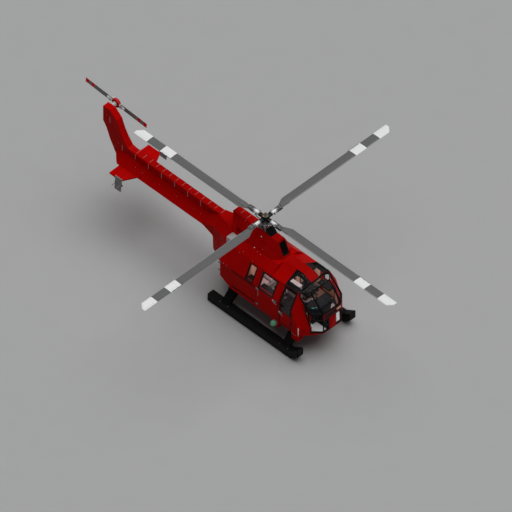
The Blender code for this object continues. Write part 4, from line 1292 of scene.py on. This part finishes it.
class HELI_OT_cowling(bpy.types.Operator):
    """Adds the cowling's seams, latches, louvres, intake mesh and exhaust rims"""

    bl_idname = "heli.cowling"
    bl_label = "Detail the engine cowling"

    def intake(self):
        """The wire mesh along the slanted mouth and the dark duct behind it."""
        low, high, half = 2.34, 2.73, 0.105
        front_low, front_high = [touch((3, 0.12, z), (-1, 0, 0), "engine_cowling")[0].x for z in (low, high)]
        wires = []
        for y in between(-half, half, 15):
            wires.append(rod((front_low - 0.012, y, low), (front_high - 0.012, y, high), 0.002, 6))
        for z in between(low, high, 27):
            x = front_low + (front_high - front_low) * (z - low) / (high - low) - 0.012
            wires.append(rod((x, -half, z), (x, half, z), 0.002, 6))
        settle("intake_mesh", wires, "rubber", "black_paint")
        walls = [block((0.485, -0.111, 2.3305), (front_low - 0.006, 0.111, 2.334))]
        walls.append(block((0.485, -0.111, 2.735), (front_high - 0.008, 0.111, 2.7385)))
        corners = ((0.485, low), (front_low - 0.006, low), (front_high - 0.006, 2.734), (0.485, 2.734))
        for side, word in SIDES:
            walls.append(plate([(x, side * 0.1115, z) for x, z in corners], (0, side * 0.003, 0)))
        settle("intake_duct", walls, "dark_room", "black_paint")

    def execute(self, context):
        for side, word in SIDES:
            seams = []
            for x in (-0.86, -0.42, 0.13, 0.60):
                seams.append(ribbon([cowl_side(x, z, side) for z in between(2.30, 2.775, 10)], 0.008, 0.0015))
            for x0, x1 in ((-0.86, -0.42), (0.13, 0.60)):
                seams.append(ribbon([cowl_side(x, 2.545, side) for x in between(x0, x1, 8)], 0.006, 0.0015))
            settle(f"cowling_seams_{word}", seams, "deep_red", smooth=0)
            latches = []
            for x in (-0.78, -0.50, -0.30, 0.22, 0.50):
                for z in (2.315, 2.52):
                    latches.append(block((-0.018, -0.011, -0.002), (0.018, 0.011, 0.006), 0.003))
                    latches[-1].data.transform(standing(*cowl_side(x, z, side)))
            settle(f"cowling_latches_{word}", latches, "deep_red")
            slats = []
            for i in range(6):
                x = -0.80 + i * 0.05
                foot, facing = cowl_side(x, 2.37, side)
                head = cowl_side(x, 2.48, side)[0]
                slat = [(spot, facing) for spot in (foot, (foot + head) / 2, head)]
                slats.append(ribbon(slat, 0.034, 0.002, 0.001))
                slats.append(ribbon([(p + Vector((0.012, 0, 0)), n) for p, n in slat], 0.010, 0.010, 0.002))
            settle(f"cowling_louvres_{word}", slats, "deep_red", smooth=0)
            rims = [ring_of((x, side * 0.505, 2.155), (1, 0, 0), radius, wire, 32)
                    for x, radius, wire in ((-0.885, 0.100, 0.008), (-0.815, 0.102, 0.005))]
            settle(f"exhaust_rim_{word}", rims, "exhaust")
        self.intake()
        return {"FINISHED"}


def blade_antennas(places, top, bottom, long, tip):
    """Thin swept fins hanging from places in x and z, each with a long root and a short tip."""
    made = []
    for x, z in places:
        outline = [(x, z + top), (x + long, z + top), (x + tip[1], z + bottom), (x + tip[0], z + bottom)]
        made.append(plate([(x, -0.006, z) for x, z in outline], (0, 0.012, 0), 0.004))
    return made


class HELI_OT_boom(bpy.types.Operator):
    """Adds the boom's seam strips, shaft cover straps and antennas"""

    bl_idname = "heli.boom"
    bl_label = "Detail the tail boom"

    def execute(self, context):
        down = (0, 0, -1)
        straps = []
        for i in range(15):
            line = [(-5.225 + i * 0.2535, y, 3.5) for y in between(-0.05, 0.10, 5)]
            straps.append(strip(line, down, 0.020, 0.002, "shaft_cover", "rear_body"))
        for x in (-0.905, -0.65):
            line = [(x, y, 3.5) for y in between(-0.06, 0.10, 5)]
            straps.append(strip(line, down, 0.020, 0.002, "engine_cowling"))
        settle("cover_straps", straps, "strap_red", smooth=0)
        for side, word in SIDES:
            inward = (0, -side, 0)
            seams = []
            for i in range(7):
                line = [(-5.48 + i * 0.51, side * 2, z) for z in between(2.035, 2.245, 5)]
                seams.append(strip(line, inward, 0.026, 0.002, "shaft_cover", "tail_fin"))
            settle(f"cover_seams_{word}", seams, "pale_red", smooth=0)
            hinges = []
            for i in range(10):
                x = -2.25 - i * 0.304
                y = touch((x, side * 1.2, 2.10), inward, "shaft_cover")[0].y
                hinges.append(block((x - 0.05, y - 0.004, 2.035), (x + 0.05, y + 0.004, 2.052), 0.002))
            settle(f"cover_hinges_{word}", hinges, "deep_red")
        places = [(x, touch((x, 0, 0.5), (0, 0, 1), "tail_boom")[0].z) for x in (-2.9, -4.0)]
        fins = blade_antennas(places, 0.004, -0.16, 0.14, (0.03, 0.08))
        settle("boom_antennas", fins, "white", "grey_paint")
        return {"FINISHED"}


class HELI_OT_tail(bpy.types.Operator):
    """Adds the tail rotor's grips, horns and cap, its gearbox flange and the end plates' rods"""

    bl_idname = "heli.tail"
    bl_label = "Rig the tail rotor"

    def rotor(self):
        """The tail rotor's fittings, modelled round the hub with one arm along x."""
        arm = [rod((0.09, 0, 0), (0.20, 0, 0), 0.034, 20, 0.005)]
        arm += [block((0.18, y, -0.05), (0.27, y + 0.010, 0.05)) for y in (-0.034, 0.024)]
        horn = [
            block((0.13, -0.012, -0.11), (0.16, 0.012, -0.02), 0.005),
            pipe([(0.145, 0, -0.10), (0.12, 0.06, -0.09), (0.05, 0.085, -0.03)], 0.008),
        ]
        groups = {
            "grips": (arm, "light_grey"),
            "horns": (horn, "white"),
            "pins": ([pin(x, 0, -0.045, 0.045, 0.012, 6, 0.002) for x in (0.205, 0.25)], "steel"),
            "collars": ([rod((0.225, 0, 0), (0.335, 0, 0), 0.041, 20, 0.006)], "white"),
        }
        for name, (model, look) in groups.items():
            whole = joined(model)
            whole.data.transform(Matrix.Rotation(math.radians(3.6), 4, "Y"))
            pair = around(whole, 2, "Y")
            settle(f"tail_rotor_{name}", pair, look, "bare_metal", "tail_rotor", shift=TAIL_HUB)
        cap = [pin(0, 0, 0.05, 0.068, 0.075, 28, 0.004), pin(0, 0, 0.065, 0.085, 0.03, 20, 0.004)]
        cap += [ring_of((0, y, 0), (0, 1, 0), 0.134, 0.012, 36) for y in (0.02, -0.02)]
        settle("tail_rotor_cap", cap, "hub_red", body="tail_rotor", shift=TAIL_HUB)
        bolts = [pin(x, z, 0.066, 0.076, 0.008, 6) for x, z in circle(0.055, 8)]
        settle("tail_rotor_bolts", bolts, "steel", body="tail_rotor", shift=TAIL_HUB)

    def execute(self, context):
        self.rotor()
        flange = [pin(0, 0, 0.106, 0.125, 0.098, 28, 0.004)]
        flange += [pin(x, z, 0.12, 0.135, 0.008, 6) for x, z in circle(0.086, 8, 0.3)]
        flange += [ring_of((0, y, 0), (0, 1, 0), 0.074, 0.006, 28) for y in (0.16, 0.19, 0.22)]
        settle("tail_gearbox_flange", flange, "light_grey", "bare_metal", shift=(TAIL_HUB.x, 0, TAIL_HUB.z))

        for side, word in SIDES:
            rods = []
            for x, z in ((-4.94, 1.73), (-4.75, 1.76)):
                rods.append(pin(x, z, side * 0.90, side * 1.055, 0.011, 10, 0.002))
                rods.append(pin(x, z, side * 0.90, side * 0.912, 0.024, 12, 0.002))
            settle(f"end_plate_rods_{word}", rods, "grey", "grey_paint")
            root = block((-4.99, side * 0.868, 1.70), (-4.70, side * 0.878, 1.78), 0.003)
            settle(f"end_plate_root_{word}", root, "red")
            seams = []
            for x in (-5.20, -4.98, -4.76):
                line = [(x, side * y, 3) for y in between(0.25, 0.74, 12)]
                seams.append(strip(line, (0, 0, -1), 0.006, 0.0015, "stabiliser"))
            settle(f"stabiliser_seams_{word}", seams, "deep_red", smooth=0)
            line = [(x, side * 1.5, 2.25 - (x + 5.62) * 1.8) for x in between(-5.62, -5.99, 6)]
            seam = strip(line, (0, -side, 0), 0.008, 0.0015, "tail_fin")
            settle(f"fin_seam_{word}", seam, "deep_red", smooth=0)
        return {"FINISHED"}


class HELI_OT_gear(bpy.types.Operator):
    """Adds the skids' shoes, clamps and treads, the legs' plates and the crew's steps"""

    bl_idname = "heli.gear"
    bl_label = "Fit out the landing gear"

    def execute(self, context):
        legs = (-0.50, 1.83)
        for side, word in SIDES:
            clamps, bolts = [], []
            for x in [leg + step for leg in legs for step in (-0.15, 0.15)]:
                clamps.append(block((x - 0.02, side * 0.905, 0.268), (x + 0.02, side * 1.135, 0.282)))
                bolts += [post(x, side * y, 0.28, 0.295, 0.011, 6, 0.002) for y in (0.925, 1.115)]
            settle(f"skid_clamps_{word}", clamps, "black", "black_paint")
            settle(f"skid_bolts_{word}", bolts, "cast")
            shoes = [block((x0, side * 0.93, 0.0), (x1, side * 1.11, 0.003), 0.001)
                     for x0, x1 in ((-1.08, -0.40), (-0.30, 0.55), (0.65, 1.50))]
            settle(f"skid_shoes_{word}", shoes, "steel")
            treads = []
            for i in range(9):
                x = 0.35 + i * 0.09
                treads.append(block((x, side * 0.94, 0.269), (x + 0.05, side * 1.10, 0.2735), 0.002))
            settle(f"skid_treads_{word}", treads, "rubber", "black_paint")
            step = [block((1.915, side * 0.66, 0.758), (2.10, side * 0.85, 0.766), 0.003)]
            for i in range(5):
                x = 1.93 + i * 0.034
                step.append(block((x, side * 0.67, 0.765), (x + 0.014, side * 0.84, 0.770), 0.002))
            settle(f"crew_step_{word}", step, "grey", "grey_paint")
            plates = []
            for leg, top in zip(legs, (0.60, 0.56)):
                for x in (leg - 0.1365, leg + 0.1365):
                    low = (x - 0.003, side * 0.70, top - 0.06)
                    plates.append(block(low, (x + 0.003, side * 0.80, top), 0.002))
            settle(f"leg_plates_{word}", plates, "black", "black_paint")
        return {"FINISHED"}


class HELI_OT_lamps(bpy.types.Operator):
    """Adds the lamps' collars, the landing light and the beacon"""

    bl_idname = "heli.lamps"
    bl_label = "Fit the lamps"

    def execute(self, context):
        for side, word in SIDES:
            collar = [ring_of((1.25, side * y, 0.64), (0, 1, 0), radius, wire, 32)
                      for y, radius, wire in ((0.876, 0.086, 0.007), (0.884, 0.081, 0.004))]
            settle(f"lamp_collar_{word}", collar, "grey", "grey_paint")
            bulb = pin(1.25, 0.64, side * 0.872, side * 0.91, 0.022, 12, 0.003)
            settle(f"lamp_bulb_{word}", bulb, "clear")
        settle("belly_beacon_base", post(0.2, 0, 0.600, 0.622, 0.06, 24, 0.004), "black", "black_paint")
        settle("belly_beacon", ball((0.2, 0, 0.592), 0.048, 0.8), "port_red")
        bowl = [
            post(1.45, 0, 0.622, 0.588, 0.115, 28, 0.006, 0.10),
            ring_of((1.45, 0, 0.588), (0, 0, 1), 0.095, 0.007, 32),
        ]
        settle("landing_light_bowl", bowl, "cast")
        settle("landing_light_glass", ball((1.45, 0, 0.592), 0.088, 0.22), "clear")
        return {"FINISHED"}


class HELI_OT_belly(bpy.types.Operator):
    """Adds the belly's panels, drains and antennas"""

    bl_idname = "heli.belly"
    bl_label = "Panel the belly"

    def execute(self, context):
        panels, screws = [], []
        down = Vector((0, 0, -1))
        for x0, x1, reach in ((-0.30, 0.05, 0.9), (0.36, 0.80, 1), (0.84, 1.28, 1), (1.62, 1.84, 0.9)):
            for y0, y1 in ((-0.48 * reach, -0.03 * reach), (0.03 * reach, 0.48 * reach)):
                panels.append(block((x0, y0, 0.6165), (x1, y1, 0.621), 0.002))
                for x in between(x0 + 0.02, x1 - 0.02, 5):
                    screws += [(Vector((x, y, 0.6165)), down) for y in (y0 + 0.02, y1 - 0.02)]
        settle("belly_panels", panels, "red")
        settle("belly_screws", studs(screws, 0.008), "rivet")
        fins = blade_antennas([(x, 0.618) for x in (0.62, 1.08)], 0, -0.158, 0.16, (0.04, 0.09))
        settle("belly_antennas", fins, "white", "grey_paint")
        places = ((-0.1, 0.30), (-0.1, -0.30), (0.9, 0.2))
        drains = [pipe([(x, y, 0.63), (x, y, 0.585), (x - 0.02, y, 0.57)], 0.008) for x, y in places]
        settle("belly_drains", drains, "cast")
        return {"FINISHED"}


class HELI_OT_marks(bpy.types.Operator):
    """Adds the small fittings that stand out on the skin: studs, strips and the nose step's light"""

    bl_idname = "heli.marks"
    bl_label = "Fit the small studs and strips"

    def execute(self, context):
        cowl = ("engine_cowling", "roof_rear", "roof_front", "side_frame_right")
        corner = ("side_frame_right", "rear_door_right", "rear_body", "belly", "rear_floor")
        lights = [seen(254.5, 247.5, *cowl), seen(261.5, 236.5, *cowl)]
        settle("cowling_lights", studs(lights, 0.022, 0.6, 12), "white", "bare_metal")
        places = ((239, 252), (243, 251), (252, 261), (257, 251), (260, 254), (262, 249), (245, 220))
        settle("cowling_studs", studs([seen(u + 0.5, v + 0.5, *cowl) for u, v in places], 0.016), "pale_red")
        spots = [seen(u, v, *corner) for u, v in ((220.8, 261.8), (223.3, 263.2), (226.5, 265.5))]
        settle("rear_corner_studs", studs(spots, 0.018), "pale_red")

        places = ((135, 167), (142, 172), (159, 184), (176, 196), (193, 208), (200, 213))
        boom = [seen(u + 0.5, v + 0.5, "tail_boom") for u, v in places]
        fin = [seen(u, v, "tail_fin") for u, v in ((103.8, 112.5), (106.8, 114.8), (118.8, 142.8))]
        fin_line = [seen(109.8, v, "tail_fin") for v in between(117.2, 122.8, 5)]
        cheek_line = [seen(298.2, v, "nose_shell") for v in between(328.5, 336.5, 6)]
        step = [seen(u, v, "nose_shell") for u, v in ((291.8, 332.8), (293.6, 334.2), (295.4, 335.4))]
        for side, word in SIDES:
            settle(f"boom_studs_{word}", studs(handed(boom, side), 0.017), "stud_red")
            settle(f"fin_studs_{word}", studs(handed(fin, side), 0.016), "stud_red")
            settle(f"fin_strip_{word}", ribbon(handed(fin_line, side), 0.026, 0.002), "pale_red", smooth=0)
            light = ribbon(handed(cheek_line, side), 0.026, 0.003)
            settle(f"step_light_{word}", light, "white", "bare_metal", smooth=0)
            settle(f"step_studs_{word}", studs(handed(step, side), 0.022), "grey", "grey_paint")
            grab = block((0.575, side * 0.876, 1.21), (0.60, side * 0.882, 1.45), 0.002)
            settle(f"door_grab_{word}", grab, "pale_red")
            skins = (f"sliding_door_{word}", f"side_frame_{word}", "belly")
            sill = row([(x, side * 3, 0.80) for x in (0.30, 0.56, 0.68, 0.84, 1.0)], (0, -side, 0), *skins)
            settle(f"sill_studs_{word}", studs(sill, 0.016), "stud_red")
        return {"FINISHED"}


class HELI_OT_rivets(bpy.types.Operator):
    """Sets rows of rivets along the skin's panel edges"""

    bl_idname = "heli.rivets"
    bl_label = "Set the rivets"

    def execute(self, context):
        size = sizes().rivet
        boom, rear = between(-2.2, -5.3, 48), between(-0.95, -2.05, 16)
        for side, word in SIDES:
            door = f"front_door_{word}"
            frames = (f"side_frame_{word}", "rear_body", "belly", "roof_rear")
            level = [(x, z) for x in between(-0.86, 0.46, 24) for z in (0.795, 1.545, 2.02)]
            upright = [(x, z) for x in (-0.86, -0.45, 0.04, 0.44) for z in between(0.82, 1.50, 10)]
            slide_level = [(x, z) for x in between(0.54, 1.29, 14) for z in (0.83, 1.485)]
            slide_upright = [(x, z) for x in (0.54, 1.29) for z in between(0.88, 1.43, 9)]
            cowl = [(x, z) for x in between(-0.82, 0.56, 26) for z in (2.30, 2.765)]
            rows = {
                "side": (level + upright, frames),
                "sliding_door": (slide_level + slide_upright, (f"sliding_door_{word}",)),
                "front_door": ([(x, z) for x in between(1.46, 1.84, 7) for z in (0.83, 1.225)], (door,)),
                "cowling": (cowl, ("engine_cowling",)),
                "boom": ([(x, 1.68) for x in boom], ("tail_boom",)),
                "rear": ([(x, 1.56) for x in rear], ("rear_body",)),
            }
            above = {
                "boom": [(x, side * 0.13, 3.5) for x in boom],
                "rear": [(x, side * 0.40, 3.5) for x in rear],
            }
            for name, (places, skins) in rows.items():
                spots = row([(x, side * 3, z) for x, z in places], (0, -side, 0), *skins)
                spots += row(above.get(name, ()), (0, 0, -1), *skins)
                body = door if name == "front_door" else "airframe"
                settle(f"{name}_rivets_{word}", studs(spots, size), "rivet_red", body=body)
        reaches = [y * side for y in between(0.42, 0.56, 5) for side in (-1, 1)]
        across = [(x, y, 3.5) for x in (-0.88, -0.50, 0.86) for y in reaches]
        spots = row(across, (0, 0, -1), "roof_rear", "roof_front", "rear_body")
        settle("roof_rivets", studs(spots, size), "rivet_red")
        return {"FINISHED"}


class HELI_OT_stage(bpy.types.Operator):
    """Adds the floor, the studio lights and the camera"""

    bl_idname = "heli.stage"
    bl_label = "Set the stage"

    def execute(self, context):
        deselect()
        bpy.ops.mesh.primitive_plane_add(size=90, location=(0, 0, -0.002))
        floor = context.active_object
        floor.name = "studio_floor"
        ground = Finish("studio_floor", (0.40, 0.40, 0.40), 0.9, Specular_IOR_Level=0.05)
        ground.set(Base_Color=ground.mix(ground.noise(1.5, 6.0), (0.39, 0.39, 0.39), (0.41, 0.41, 0.41)))
        floor.data.materials.append(ground.material)

        world = bpy.data.worlds.new("studio")
        world.use_nodes = True
        back = world.node_tree.nodes["Background"]
        back.inputs["Color"].default_value = (0.9, 0.95, 1.0, 1)
        back.inputs["Strength"].default_value = 0.07
        context.scene.world = world

        middle = MAST + Vector((0, 0, 1.6))
        suns = (
            ("key", Vector((0.5, 2.0, 9.4)), 1.2, sizes().key_light),
            ("fill", Vector((8.0, -6.0, 7.0)), 0.9, 0.12),
        )
        for name, offset, spread, strength in suns:
            bpy.ops.object.light_add(type="SUN", location=middle + offset)
            lamp = context.active_object
            lamp.name = name + "_light"
            lamp.data.angle = spread
            lamp.data.energy = strength
            lamp.rotation_euler = (-offset).to_track_quat("-Z", "Y").to_euler()
        cabin = ((0.68, -0.3, 4.0), (0.68, 0.3, 4.0), (1.30, -0.5, 4.0), (1.30, 0.25, 3.0), (1.82, 0.42, 4.0))
        for x, y, power in cabin:
            bpy.ops.object.light_add(type="POINT", location=MAST + Vector((x, y, 1.88)))
            lamp = context.active_object
            lamp.name = "cabin_light"
            lamp.data.shadow_soft_size = 0.12
            lamp.data.energy = power
            lamp.visible_camera = False

        eye = MAST + Vector((0, 0, HUB_Z)) - VIEW_RIGHT * 0.2588 - VIEW_UP * 1.056 + VIEW_BACK * 30
        bpy.ops.object.camera_add(location=eye)
        camera = context.active_object
        camera.rotation_euler = VIEW_BACK.to_track_quat("Z", "Y").to_euler()
        camera.data.type = "ORTHO"
        camera.data.ortho_scale = 14.128
        camera.data.clip_end = 200
        context.scene.camera = camera
        context.scene.view_settings.view_transform = "Standard"
        return {"FINISHED"}


class HELI_PT_panel(bpy.types.Panel):
    """Lists the steps that dress the helicopter"""

    bl_idname = "HELI_PT_panel"
    bl_label = "Helicopter"
    bl_space_type = "VIEW_3D"
    bl_region_type = "UI"
    bl_category = "Helicopter"

    def draw(self, context):
        for group in (context.scene.heli_colours, context.scene.heli_sizes):
            box = self.layout.box()
            for name in group.__annotations__:
                box.prop(group, name)
        for step in STEPS:
            self.layout.operator(step.bl_idname)


STEPS = (
    HELI_OT_paint,
    HELI_OT_windows,
    HELI_OT_doors,
    HELI_OT_seats,
    HELI_OT_cockpit,
    HELI_OT_linings,
    HELI_OT_rotor_head,
    HELI_OT_blades,
    HELI_OT_cowling,
    HELI_OT_boom,
    HELI_OT_tail,
    HELI_OT_gear,
    HELI_OT_lamps,
    HELI_OT_belly,
    HELI_OT_marks,
    HELI_OT_rivets,
    HELI_OT_stage,
)
CLASSES = (BodyColours, BodySizes, *STEPS, HELI_PT_panel)


def register():
    for item in CLASSES:
        bpy.utils.register_class(item)
    bpy.types.Scene.heli_colours = PointerProperty(type=BodyColours)
    bpy.types.Scene.heli_sizes = PointerProperty(type=BodySizes)


def unregister():
    del bpy.types.Scene.heli_colours
    del bpy.types.Scene.heli_sizes
    for item in reversed(CLASSES):
        bpy.utils.unregister_class(item)


def main():
    register()
    for step in STEPS:
        group, name = step.bl_idname.split(".")
        getattr(getattr(bpy.ops, group), name)()
    bpy.context.view_layer.update()


if __name__ == "__main__":
    main()
